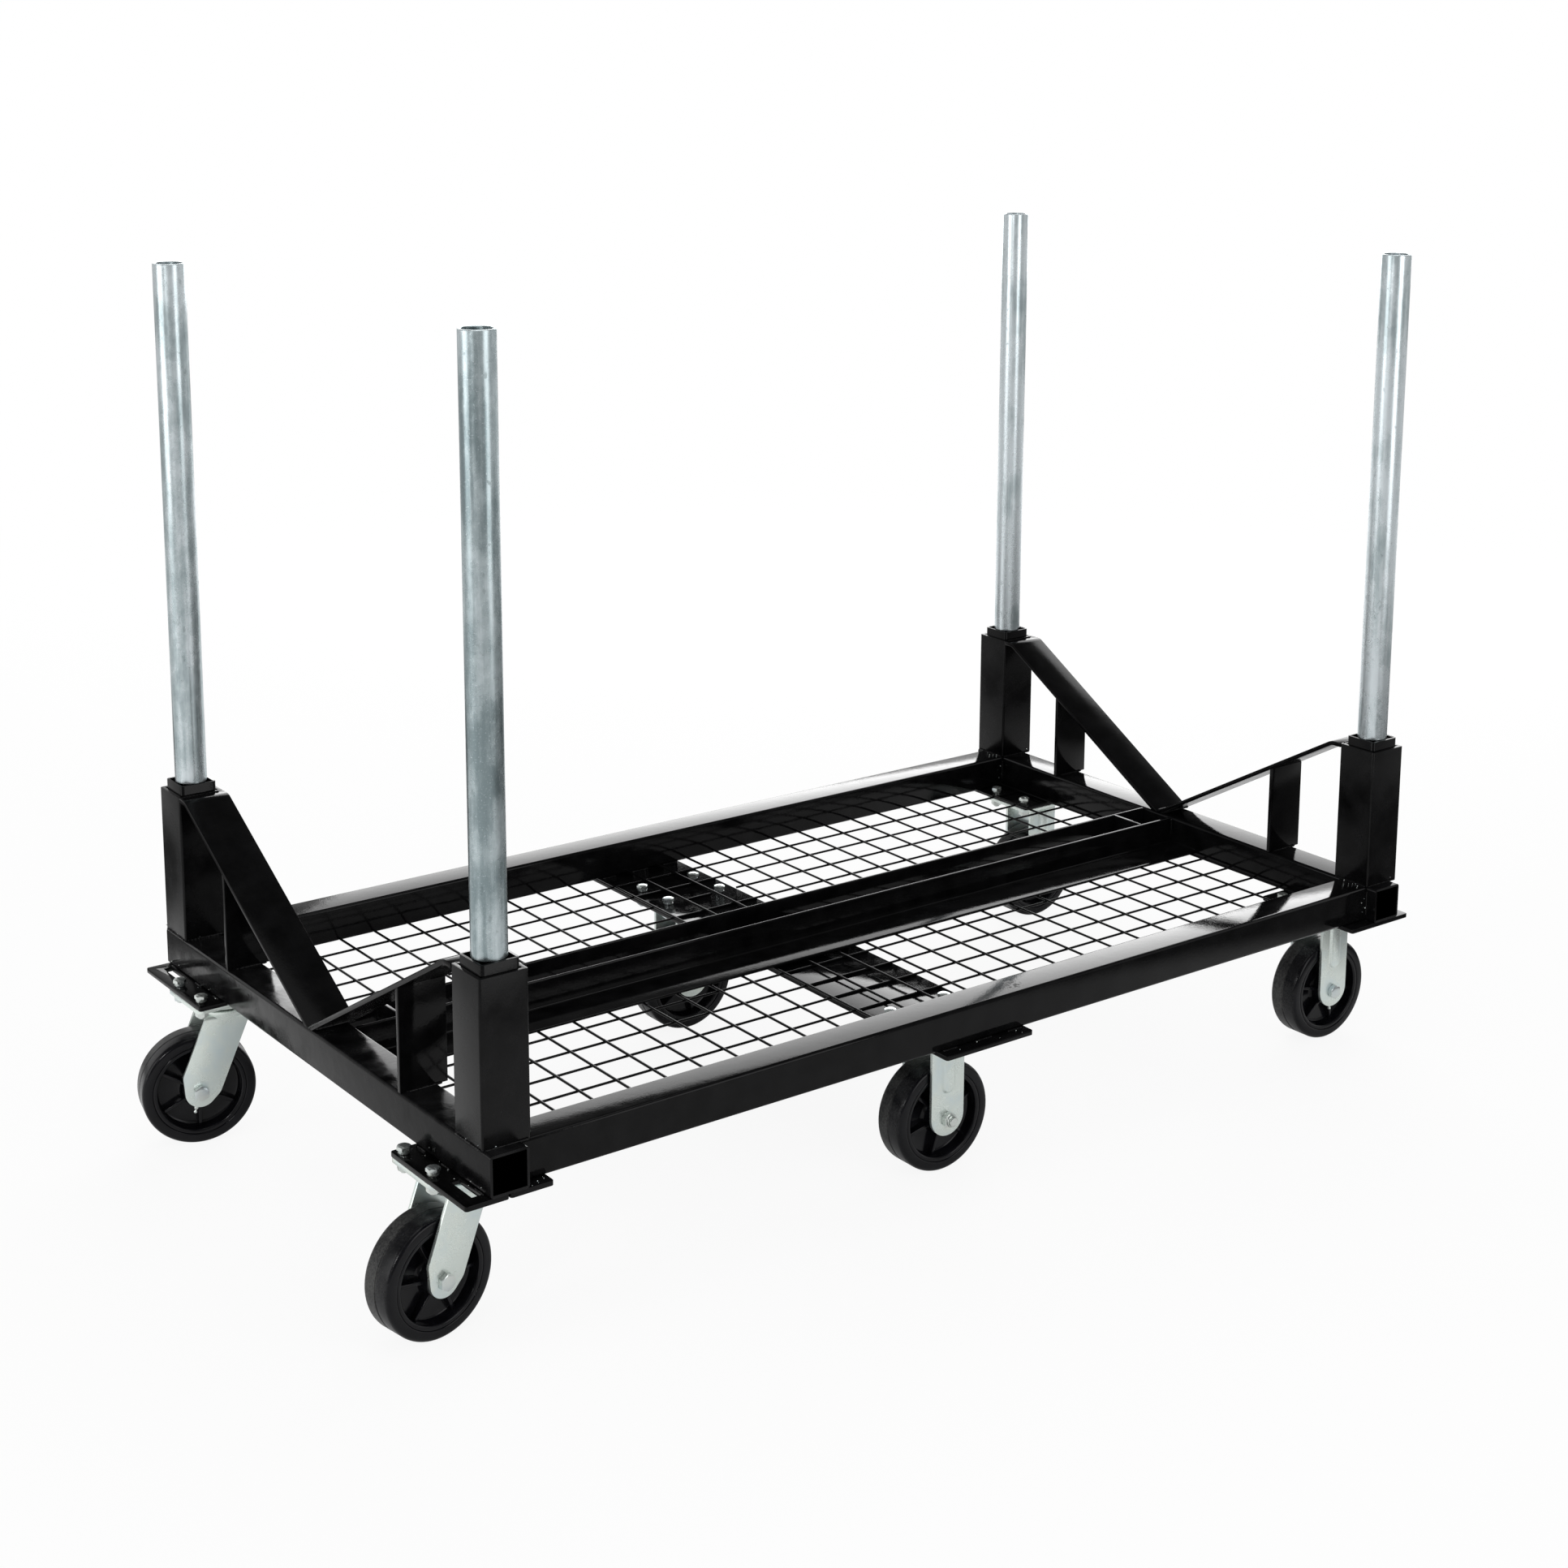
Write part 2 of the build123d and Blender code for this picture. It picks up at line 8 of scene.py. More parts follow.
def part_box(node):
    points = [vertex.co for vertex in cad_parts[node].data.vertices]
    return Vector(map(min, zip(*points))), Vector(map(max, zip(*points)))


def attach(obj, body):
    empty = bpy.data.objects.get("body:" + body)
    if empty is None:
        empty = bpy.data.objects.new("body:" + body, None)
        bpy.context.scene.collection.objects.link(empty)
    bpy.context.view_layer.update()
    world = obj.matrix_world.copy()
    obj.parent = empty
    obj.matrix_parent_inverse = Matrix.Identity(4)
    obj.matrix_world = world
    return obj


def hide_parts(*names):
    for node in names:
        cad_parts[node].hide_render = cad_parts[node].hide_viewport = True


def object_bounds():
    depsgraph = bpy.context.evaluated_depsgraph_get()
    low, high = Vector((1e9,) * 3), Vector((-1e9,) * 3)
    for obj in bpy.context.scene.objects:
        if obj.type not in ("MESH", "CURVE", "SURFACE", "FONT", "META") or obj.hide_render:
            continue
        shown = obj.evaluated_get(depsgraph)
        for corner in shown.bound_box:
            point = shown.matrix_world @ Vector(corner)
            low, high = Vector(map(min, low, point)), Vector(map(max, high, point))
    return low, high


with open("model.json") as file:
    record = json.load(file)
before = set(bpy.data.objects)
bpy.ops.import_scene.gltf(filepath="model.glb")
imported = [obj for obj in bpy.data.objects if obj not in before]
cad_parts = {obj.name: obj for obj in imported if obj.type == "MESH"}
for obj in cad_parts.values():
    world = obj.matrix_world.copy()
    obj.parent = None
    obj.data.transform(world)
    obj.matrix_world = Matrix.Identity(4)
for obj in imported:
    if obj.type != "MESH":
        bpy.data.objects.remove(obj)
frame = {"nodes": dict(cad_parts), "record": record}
cadLow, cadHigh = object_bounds()
record = frame["record"]
joints = {joint["name"]: joint for joint in record["behaviour"]["joints"]}
scene = bpy.context.scene
mm = 0.001
corners = ("front_left", "front_right", "back_left", "back_right")
swivels = ("front_left", "back_left")
rigids = ("front_mid", "back_mid", "front_right", "back_right")
sideTubes = ("side_tube_front", "side_tube_back")
print("stage: frame loaded")


def shift(x, y, z):
    return Matrix.Translation((x, y, z))


def spin(degrees, axis):
    return Matrix.Rotation(math.radians(degrees), 4, axis)


# Camera, solved from the corner posts of the cart
cameraSet = {"yaw": 37.536, "pitch": 11.461, "roll": 0.466, "place": (-2.0465, -2.7757, 1.5282),
             "lens": 58.783, "shiftX": -0.0342, "shiftY": -0.1702}


def addCamera(s):
    data = bpy.data.cameras.new("camera")
    data.sensor_width = 36
    data.lens = s["lens"]
    data.shift_x = s["shiftX"]
    data.shift_y = s["shiftY"]
    data.clip_end = 60
    camera = bpy.data.objects.new("camera", data)
    turn = spin(-s["yaw"], "Z") @ spin(90 - s["pitch"], "X") @ spin(s["roll"], "Z")
    camera.matrix_world = shift(*s["place"]) @ turn
    scene.collection.objects.link(camera)
    scene.camera = camera


addCamera(cameraSet)


# Shader maths on sockets
class Link:
    def __init__(self, tree, socket=None):
        self.tree = tree
        self.socket = socket

    def node(self, kind, settings=None, inputs=None, out=0):
        made = self.tree.nodes.new(kind)
        for key, value in (settings or {}).items():
            setattr(made, key, value)
        for key, value in (inputs or {}).items():
            if isinstance(value, Link):
                self.tree.links.new(value.socket, made.inputs[key])
            else:
                made.inputs[key].default_value = value
        return Link(self.tree, made.outputs[out])

    def math(self, operation, a, b):
        return self.node("ShaderNodeMath", {"operation": operation}, {0: a, 1: b})

    def __add__(self, other):
        return self.math("ADD", self, other)

    def __sub__(self, other):
        return self.math("SUBTRACT", self, other)

    def __rsub__(self, other):
        return self.math("SUBTRACT", other, self)

    def __mul__(self, other):
        return self.math("MULTIPLY", self, other)

    __radd__, __rmul__ = __add__, __mul__

    def clamp(self):
        return self.node("ShaderNodeClamp", None, {"Value": self})

    def ramp(self, low, high):
        return self.node("ShaderNodeMapRange", {"interpolation_type": "SMOOTHSTEP"},
                         {"Value": self, "From Min": low, "From Max": high})

    def noise(self, place, scale, detail, rough=0.55):
        return self.node("ShaderNodeTexNoise", None,
                         {"Vector": place, "Scale": scale, "Detail": detail, "Roughness": rough})

    def stretch(self, place, scale):
        return self.node("ShaderNodeMapping", None, {"Vector": place, "Scale": scale})

    def blend(self, amount, a, b):
        return self.node("ShaderNodeMix", {"data_type": "RGBA"}, {"Factor": amount, 6: a, 7: b}, 2)

    def bump(self, height, distance):
        return self.node("ShaderNodeBump", None, {"Height": height, "Distance": distance, "Strength": 1.0})

    def vector(self, operation, a, b):
        return self.node("ShaderNodeVectorMath", {"operation": operation}, {0: a, 1: b}, "Value")

    def attribute(self, name):
        return self.node("ShaderNodeAttribute", {"attribute_name": name}, out="Fac")


def newMaterial(name, **fixed):
    material = bpy.data.materials.new(name)
    material.use_nodes = True
    tree = material.node_tree
    shader = tree.nodes["Principled BSDF"]
    for key, value in fixed.items():
        shader.inputs[key.replace("_", " ")].default_value = value
    kit = Link(tree)
    place = kit.node("ShaderNodeTexCoord", out="Object")

    def feed(**wires):
        for key, wire in wires.items():
            tree.links.new(wire.socket, shader.inputs[key.replace("_", " ")])
        return material

    return kit, place, feed


# Black coats: heights of the bump in metres, noise scales per metre
coatBlack = (0.0008, 0.0008, 0.0009, 1)
coatScale = {"cloud": 30, "wave": 52, "peel": 420, "grain": 1500}
glossLook = {"pale": (0.005, 0.005, 0.0053, 1), "rough": 0.035, "spread": 0.05,
             "wave": 0.00012, "peel": 0.00006, "grain": 0.000014}
satinLook = {"pale": (0.006, 0.006, 0.0063, 1), "rough": 0.17, "spread": 0.12,
             "wave": 0.00009, "peel": 0.00006, "grain": 0.00003}
endLook = {"pale": (0.01, 0.01, 0.0105, 1), "rough": 0.06, "spread": 0.22,
           "wave": 0.00032, "peel": 0.00007, "grain": 0.00002}
barLook = {"pale": (0.004, 0.004, 0.0043, 1), "rough": 0.1, "spread": 0.07,
           "wave": 0.0001, "peel": 0.00006, "grain": 0.00002}
rubMark = {"place": (0.07, -0.405, 0.262), "inner": 0.008, "outer": 0.018, "rough": 0.4, "scale": 190}


def coatMaterial(name, look, index=1.26, rub=None):
    kit, place, feed = newMaterial(name, IOR=index)
    cloud = kit.noise(place, coatScale["cloud"], 4)
    wave, peel, grain = (kit.noise(place, coatScale[key], 2) for key in ("wave", "peel", "grain"))
    tint = kit.blend((cloud * 0.7 + grain * 0.5).ramp(0.35, 0.85), coatBlack, look["pale"])
    rough = look["rough"] + look["spread"] * cloud.ramp(0.3, 0.75) + 0.04 * grain
    if rub:
        patch = 1 - kit.vector("DISTANCE", place, rub["place"]).ramp(rub["inner"], rub["outer"])
        rough = rough + rub["rough"] * patch * kit.noise(place, rub["scale"], 3).ramp(0.46, 0.56)
    height = wave * look["wave"] + peel * look["peel"] + grain * look["grain"]
    return feed(Base_Color=tint, Roughness=rough, Normal=kit.bump(height, 1.0))


pipeLook = {"dark": (0.26, 0.325, 0.34, 1), "mid": (0.52, 0.6, 0.62, 1), "pale": (0.78, 0.85, 0.88, 1),
            "stain": (0.15, 0.19, 0.19, 1), "metal": 0.92,
            "scale": {"streak": 110, "cloud": 26, "flake": 190, "spot": 120, "speck": 640}}


def pipeMaterial(name, look):
    kit, place, feed = newMaterial(name, Metallic=look["metal"])
    scale = look["scale"]
    streak = kit.noise(kit.stretch(place, (1, 1, 0.05)), scale["streak"], 4)
    cloud = kit.noise(kit.stretch(place, (1, 1, 0.5)), scale["cloud"], 4)
    spangle = kit.node("ShaderNodeTexVoronoi", None, {"Vector": place, "Scale": scale["flake"]}, "Color")
    flake = kit.node("ShaderNodeSeparateColor", None, {"Color": spangle})
    spot = kit.noise(kit.stretch(place, (1, 1, 0.6)), scale["spot"], 3).ramp(0.62, 0.72)
    speck = kit.noise(place, scale["speck"], 2).ramp(0.63, 0.7)
    # The per-stake attribute lifts the whole tone of each stake: painted light, for the light falling differently on
    # each stake.
    level = (streak * 0.8 + cloud * 1.3 + flake * 0.05 - 0.67 + kit.attribute("paintedStakeLight")).clamp()
    tint = kit.blend(level.ramp(0.2, 0.62), look["dark"], look["mid"])
    tint = kit.blend(level.ramp(0.52, 0.86), tint, look["pale"])
    tint = kit.blend(spot * 0.3, tint, look["stain"])
    tint = kit.blend(speck * 0.6, tint, look["pale"])
    rough = 0.15 + 0.2 * cloud + 0.03 * flake + 0.1 * spot
    height = kit.bump(streak * 0.6 + flake * 0.08, 0.00008)
    return feed(Base_Color=tint, Roughness=rough, Normal=height)


zincLook = {"base": (0.8, 0.87, 0.825, 1), "cool": (0.72, 0.82, 0.825, 1), "warm": (0.86, 0.89, 0.79, 1),
            "metal": 0.84, "rough": 0.15, "cloud": 0.2}
boltLook = {"base": (0.72, 0.76, 0.73, 1), "cool": (0.64, 0.71, 0.74, 1), "warm": (0.76, 0.77, 0.68, 1),
            "metal": 0.9, "rough": 0.14, "cloud": 0.1}


def zincMaterial(name, look):
    kit, place, feed = newMaterial(name, Metallic=look["metal"])
    cloud = kit.noise(place, 22, 3)
    drift = kit.noise(kit.stretch(place, (1, 1, 0.6)), 38, 2)
    grain = kit.noise(place, 900, 2)
    tint = kit.blend(cloud.ramp(0.42, 0.72), look["base"], look["cool"])
    tint = kit.blend(drift.ramp(0.55, 0.8) * 0.6, tint, look["warm"])
    rough = look["rough"] + look["cloud"] * cloud + 0.06 * grain
    return feed(Base_Color=tint, Roughness=rough, Normal=kit.bump(grain * 0.3 + cloud * 0.7, 0.00003))


tyreLook = {"black": (0.0022, 0.0022, 0.0032, 1), "soft": (0.0042, 0.0042, 0.006, 1),
            "dust": (0.062, 0.062, 0.06, 1)}


def tyreMaterial(name, look):
    kit, place, feed = newMaterial(name, IOR=1.32)
    worn = kit.attribute("tread")
    cloud = kit.noise(place, 30, 4)
    scuff = kit.noise(place, 360, 5, 0.7)
    grain = kit.noise(place, 1100, 2)
    dust = (worn * (cloud * 0.9 + scuff * 1.4 - 0.67)).clamp()
    tint = kit.blend(cloud.ramp(0.35, 0.7), look["black"], look["soft"])
    tint = kit.blend(dust.ramp(0.15, 0.9), tint, look["dust"])
    rough = 0.07 + 0.06 * cloud + 0.2 * worn + 0.04 * grain
    return feed(Base_Color=tint, Roughness=rough, Normal=kit.bump(grain * 0.3 + scuff * worn, 0.00016))


coreLook = {"black": (0.0025, 0.0025, 0.0035, 1), "soft": (0.006, 0.006, 0.0075, 1)}


def coreMaterial(name, look):
    kit, place, feed = newMaterial(name, IOR=1.33)
    cloud = kit.noise(place, 34, 3)
    grain = kit.noise(place, 700, 2)
    tint = kit.blend(cloud.ramp(0.35, 0.7), look["black"], look["soft"])
    return feed(Base_Color=tint, Roughness=0.08 + 0.08 * cloud + 0.05 * grain, Normal=kit.bump(grain, 0.00005))


coat = coatMaterial("powderCoat", glossLook, rub=rubMark)
satinCoat = coatMaterial("satinCoat", satinLook)
wireCoat = coatMaterial("wireCoat", glossLook)
barCoat = coatMaterial("barCoat", barLook, 1.2)
endCoat = coatMaterial("endCoat", endLook)
pipe = pipeMaterial("galvanisedPipe", pipeLook)
zinc = zincMaterial("zincPlate", zincLook)
brightZinc = zincMaterial("brightZinc", boltLook)
rubber = tyreMaterial("tyreRubber", tyreLook)
moulded = coreMaterial("mouldedCore", coreLook)
print("stage: materials")


# Shapes
def addBlock(bm, low, high):
    verts = bmesh.ops.create_cube(bm, size=1.0)["verts"]
    bmesh.ops.scale(bm, vec=Vector(high) - Vector(low), verts=verts)
    bmesh.ops.translate(bm, vec=(Vector(low) + Vector(high)) / 2, verts=verts)
    return verts


def vertsOf(geom):
    return [item for item in geom if isinstance(item, bmesh.types.BMVert)]


def faceOf(geom):
    return [item for item in geom if isinstance(item, bmesh.types.BMFace)][0]


def pushFaces(bm, faces, way):
    # Extrudes faces along a way; the first faces stay and close the back.
    pushed = bmesh.ops.extrude_face_region(bm, geom=faces, use_keep_orig=True)["geom"]
    bmesh.ops.translate(bm, vec=Vector(way), verts=vertsOf(pushed))
    return pushed


def edgesAlong(verts, axis):
    found = {edge for vert in verts for edge in vert.link_edges}
    return [e for e in found
            if abs((e.verts[1].co - e.verts[0].co)[axis]) > 0.99 * e.calc_length()]


def bevelEdges(bm, edges, width, segments, clamp=False):
    bmesh.ops.bevel(bm, geom=edges, offset=width, segments=segments, profile=0.5, affect="EDGES", material=-1,
                    clamp_overlap=clamp)


def softenEdges(bm, width, segments=2):
    least = math.radians(50)
    sharp = [e for e in bm.edges if len(e.link_faces) == 2 and e.calc_face_angle() > least]
    bevelEdges(bm, sharp, width * mm, segments, True)


def roundBar(bm, low, high, axis, corner, segments=6):
    bevelEdges(bm, edgesAlong(addBlock(bm, low, high), axis), corner, segments)


def tubeShape(low, high, axis, wall, corner, edge=0.5):
    bm = bmesh.new()
    inset = Vector((wall, wall, wall)) * mm
    inset[axis] = 0
    roundBar(bm, low, high, axis, corner * mm)
    roundBar(bm, low + inset, high - inset, axis, max(corner - wall, 0.8) * mm)
    bm.normal_update()
    caps = [f for f in bm.faces if abs(f.normal[axis]) > 0.9]
    bmesh.ops.delete(bm, geom=caps, context="FACES_ONLY")
    for end in (low[axis], high[axis]):
        rim = [e for e in bm.edges if all(abs(v.co[axis] - end) < 1e-5 for v in e.verts)]
        bmesh.ops.bridge_loops(bm, edges=rim)
    bmesh.ops.recalc_face_normals(bm, faces=bm.faces)
    softenEdges(bm, edge)
    return bm


def sheetShape(points, direction, edge=0.5, bends=()):
    # A closed outline, pushed along a direction, with its edges softened and some of its corners bent round.
    bm = bmesh.new()
    face = bm.faces.new([bm.verts.new(Vector(p)) for p in points])
    pushFaces(bm, [face], direction)
    bmesh.ops.recalc_face_normals(bm, faces=bm.faces)
    for place, radius in bends:
        axis = max(range(3), key=lambda i: abs(direction[i]))
        near = [e for e in edgesAlong(bm.verts, axis)
                if all(abs(e.verts[0].co[i] - place[i]) < 1e-4 for i in range(3) if i != axis)]
        bevelEdges(bm, near, radius * mm, 8)
    softenEdges(bm, edge)
    return bm


def plateShape(low, high, corner, slots=(), edge=0.6):
    # Flat plate with rounded corners and straight-sided slots.
    bm = bmesh.new()
    outline = bmesh.new()
    roundBar(outline, low, high, 2, corner * mm, 5)
    outline.normal_update()
    top = [f for f in outline.faces if f.normal.z > 0.9][0]
    loops = [[v.co.copy() for v in top.verts]]
    outline.free()
    for x0, x1, y0, y1 in slots:
        loops.append([Vector((x, y, high.z)) for x, y in ((x0, y0), (x0, y1), (x1, y1), (x1, y0))])
    edges = []
    for loop in loops:
        verts = [bm.verts.new(p) for p in loop]
        edges += [bm.edges.new((verts[i - 1], verts[i])) for i in range(len(verts))]
    bmesh.ops.triangle_fill(bm, use_beauty=True, use_dissolve=True, edges=edges, normal=(0, 0, 1))
    pushFaces(bm, list(bm.faces), (0, 0, low.z - high.z))
    bmesh.ops.recalc_face_normals(bm, faces=bm.faces)
    softenEdges(bm, edge)
    return bm


def latheShape(profile, steps=72, axis="Y"):
    # Outline of (radius, along) in millimetres, turned about the axis; it ends on the axis when it starts there.
    bm = bmesh.new()
    spot = (lambda r, a: (r, a, 0)) if axis == "Y" else (lambda r, a: (r, 0, a))
    verts = [bm.verts.new(Vector(spot(r, a)) * mm) for r, a in profile]
    first = 1 if profile[0][0] == 0 else 0
    edges = [bm.edges.new((verts[i - 1], verts[i])) for i in range(first, len(verts))]
    bmesh.ops.spin(bm, geom=verts + edges, cent=(0, 0, 0), axis=(0, 1, 0) if axis == "Y" else (0, 0, 1),
                   dvec=(0, 0, 0), angle=2 * math.pi, steps=steps, use_merge=True)
    bmesh.ops.remove_doubles(bm, verts=bm.verts, dist=1e-7)
    bmesh.ops.recalc_face_normals(bm, faces=bm.faces)
    return bm


def hexShape(across, height, crown=0.95, washer=0.0, dome=0.0):
    # Chamfered hexagon standing on z = 0, with a washer face below and a domed top when asked.
    bm = bmesh.new()
    flat = across / 2 * mm
    sides = math.pi / 3
    bmesh.ops.create_circle(bm, cap_ends=True, radius=flat, segments=48)
    bm.faces.ensure_lookup_table()
    face = bm.faces[0]
    levels = [(washer, "round"), (washer, "hex"), (height, "slant"), (height, "round")]
    if not washer:
        levels = levels[1:]
    for number, (level, form) in enumerate(levels):
        below = face
        face = faceOf(pushFaces(bm, [face], (0, 0, 0)))
        if number:
            bmesh.ops.delete(bm, geom=[below], context="FACES_ONLY")
        for vert in face.verts:
            angle = math.atan2(vert.co.y, vert.co.x)
            reach = flat / math.cos((angle + sides / 2) % sides - sides / 2)
            z = level * mm
            if form == "slant":
                z -= (reach - crown * flat) * 0.55
            if form == "round":
                reach = crown * flat
            vert.co = Vector((math.cos(angle) * reach, math.sin(angle) * reach, z))
    for share in (0.6, 0.3, 0.1) if dome else ():
        bmesh.ops.inset_individual(bm, faces=[face], thickness=flat * 0.25, depth=dome * share * mm)
    return bm


def placeShape(bm, matrix):
    bmesh.ops.transform(bm, matrix=matrix, verts=bm.verts)
    return bm


def joinShapes(parts):
    whole = bmesh.new()
    for part in parts:
        mesh = bpy.data.meshes.new("joining")
        part.to_mesh(mesh)
        part.free()
        whole.from_mesh(mesh)
        bpy.data.meshes.remove(mesh)
    return whole


def addPiece(bm, name, body, material, nodes=(), crease=38):
    bmesh.ops.remove_doubles(bm, verts=bm.verts, dist=1e-6)
    bmesh.ops.recalc_face_normals(bm, faces=bm.faces)
    mesh = bpy.data.meshes.new(name)
    bm.to_mesh(mesh)
    bm.free()
    mesh.polygons.foreach_set("use_smooth", [True] * len(mesh.polygons))
    mesh.set_sharp_from_angle(angle=math.radians(crease))
    mesh.materials.append(material)
    piece = bpy.data.objects.new(name, mesh)
    scene.collection.objects.link(piece)
    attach(piece, body)
    if nodes:
        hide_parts(*nodes)


def addCoated(bm, name, node, material=coat):
    addPiece(bm, name, "frame", material, [node])


def addZinc(bm, name, node, material=zinc, body="frame"):
    addPiece(bm, name, body, material, [node])


# Frame tubes, posts, sleeves and stakes
# The per-stake values lift each stake's whole tone: painted light, standing in for the light that falls differently
# on each stake.
frameSet = {"wall": 3.2, "corner": 4.2, "postWall": 4.8, "postCorner": 3.2, "sleeveGap": 1.55, "sleeveWall": 3.175,
            "sleeveCorner": 5.0, "sleeveRise": 12.7, "stakeWall": 3.5, "stakeLip": 0.8,
            "paintedStakeLight": {"front_left": 0.0, "back_left": 0.2, "front_right": 0.34, "back_right": 0.4}}
posts = {corner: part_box("post_" + corner) for corner in corners}
endLow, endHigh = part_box("end_tube_left")
frameTop, frameUnder = endHigh.z, endLow.z
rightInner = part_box("end_tube_right")[0].x
postTop = posts["front_left"][1].z


def addFrame(s):
    for node, axis in (("end_tube_left", 1), ("end_tube_right", 1), ("side_tube_front", 0), ("side_tube_back", 0)):
        low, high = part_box(node)
        finish = endCoat if node == "end_tube_left" else coat
        addCoated(tubeShape(low, high, axis, s["wall"], s["corner"]), node + ".tube", node, finish)
    sleeves = []
    for corner, (low, high) in posts.items():
        node = "post_" + corner
        addCoated(tubeShape(low, high, 2, s["postWall"], s["postCorner"]), node + ".tube", node, satinCoat)
        inset = Vector((1, 1, 0)) * (s["postWall"] + s["sleeveGap"]) * mm
        rise = Vector((0, 0, s["sleeveRise"] * mm))
        sleeves.append(tubeShape(low + inset, high - inset + rise, 2, s["sleeveWall"], s["sleeveCorner"]))
    addCoated(joinShapes(sleeves), "stakeSleeves", "stake_sleeves")
    for corner in corners:
        low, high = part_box("stake_" + corner)
        radius = (high.x - low.x) / 2 / mm
        inner = radius - s["stakeWall"]
        lip = s["stakeLip"]
        tall = (high.z - low.z) / mm
        profile = [(inner, lip), (inner + lip, 0), (radius - lip, 0), (radius, lip), (radius, tall - lip),
                   (radius - lip, tall), (inner + lip, tall), (inner, tall - lip)]
        foot = shift((low.x + high.x) / 2, (low.y + high.y) / 2, low.z)
        bm = placeShape(latheShape(profile, 64, "Z"), foot)
        # Each stake carries its painted-light level as a vertex attribute, lifting its whole tone.
        layer = bm.verts.layers.float.new("paintedStakeLight")
        for vert in bm.verts:
            vert[layer] = s["paintedStakeLight"][corner]
        addPiece(bm, "stake_" + corner + ".pipe", "stake_" + corner, pipe, ["stake_" + corner])


addFrame(frameSet)
print("stage: frame")


# V cradle: bent bars and their struts
cradleSet = {"thick": 6.35, "level": 18.0, "landing": 10.0, "bend": 14.0, "strut": 240.0, "edge": 0.7,
             "seam": 0.05}


def addCradle(s):
    thick, level, landing, strut, seam = (s[key] * mm for key in ("thick", "level", "landing", "strut", "seam"))
    struts = []
    for side in ("left", "right"):
        low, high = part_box("v_bars_" + side)
        middle = (low.y + high.y) / 2
        half = (high.y - low.y) / 2
        run = half - level - landing
        rise = postTop - frameTop
        slope = 0.5
        for turn in range(20):  # the slope settles, since the bar's own thickness depends on it
            slope = math.atan((rise - thick / math.cos(slope)) / run)
        skew = thick / math.cos(slope)
        under = lambda y: frameTop + (y - landing) * math.tan(slope)
        bendY = half - level
        inside = bendY + math.tan(slope / 2) * thick
        width = (high.x - low.x, 0, 0)
        bars = []
        for way in (-1, 1):
            spot = lambda y, z: (low.x, middle + way * y, z)
            outline = [spot(seam, frameTop), spot(landing, frameTop), spot(inside, postTop - thick),
                       spot(half, postTop - thick), spot(half, postTop), spot(bendY, postTop),
                       spot(seam, under(seam) + skew)]
            bends = [(spot(bendY, postTop), (s["bend"] + s["thick"]) * math.tan(slope / 2)),
                     (spot(inside, postTop - thick), s["bend"] * math.tan(slope / 2))]
            bars.append(sheetShape(outline, width, s["edge"], bends))
            near, far = strut - thick / 2, strut + thick / 2
            outline = [spot(near, frameTop), spot(far, frameTop), spot(far, under(far)), spot(near, under(near))]
            struts.append(sheetShape(outline, width, s["edge"]))
        addCoated(joinShapes(bars), "vBars_" + side, "v_bars_" + side, barCoat)
    addCoated(joinShapes(struts), "vBarStruts", "v_bar_struts")


addCradle(cradleSet)


# Trough: angles and spacers
troughSet = {"thick": 4.8, "root": 2.5, "spacer": 5.0, "edge": 0.8, "toe": 2.0}


def addTrough(s):
    thick = s["thick"] * mm
    inner = {}
    for side, way in (("front", -1), ("back", 1)):
        low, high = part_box("centre_angle_" + side)
        leg = high.y if way < 0 else low.y
        flange = low.y if way < 0 else high.y
        inner[side] = leg
        corner = (low.x, leg + way * thick, low.z + thick)
        outline = [(low.x, leg, low.z), (low.x, flange, low.z), (low.x, flange, low.z + thick), corner,
                   (low.x, leg + way * thick, high.z), (low.x, leg, high.z)]
        bm = sheetShape(outline, (high.x - low.x, 0, 0), s["toe"], [(corner, s["root"])])
        addCoated(bm, "centreAngle_" + side, "centre_angle_" + side)
    low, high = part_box("trough_spacers")
    spacers = []
    for x0, x1 in ((low.x, low.x + s["spacer"] * mm), (high.x - s["spacer"] * mm, high.x)):
        bm = bmesh.new()
        addBlock(bm, (x0, inner["front"], low.z), (x1, inner["back"], high.z))
        softenEdges(bm, s["edge"])
        spacers.append(bm)
    addCoated(joinShapes(spacers), "troughSpacers", "trough_spacers")


addTrough(troughSet)


# Plates under the frame
plateSet = {"corner": 3.5, "length": 177.8, "slotWide": 12.0, "slotLong": 49.0, "slotEdge": 18.0, "slotGap": 2.0}


def addPlates(s):
    for node, name in (("left_outer_pads", "leftOuterPads"), ("left_inner_pads", "leftInnerPads"),
                       ("right_pads", "rightPads")):
        low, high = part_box(node)
        pads = []
        for way in (-1, 1):
            end = low.y if way < 0 else high.y
            other = end - way * s["length"] * mm
            slots = []
            if node == "left_outer_pads":
                x1 = endLow.x - s["slotGap"] * mm
                y0 = end - way * s["slotEdge"] * mm
                y1 = y0 - way * s["slotLong"] * mm
                slots = [(x1 - s["slotWide"] * mm, x1, min(y0, y1), max(y0, y1))]
            near = Vector((low.x, min(end, other), low.z))
            far = Vector((high.x, max(end, other), high.z))
            pads.append(plateShape(near, far, s["corner"], slots))
        addCoated(joinShapes(pads), name, node)
    low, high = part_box("mid_cross_plate")
    addCoated(plateShape(low, high, s["corner"]), "midCrossPlate", "mid_cross_plate")


addPlates(plateSet)
print("stage: cradle, trough and plates")


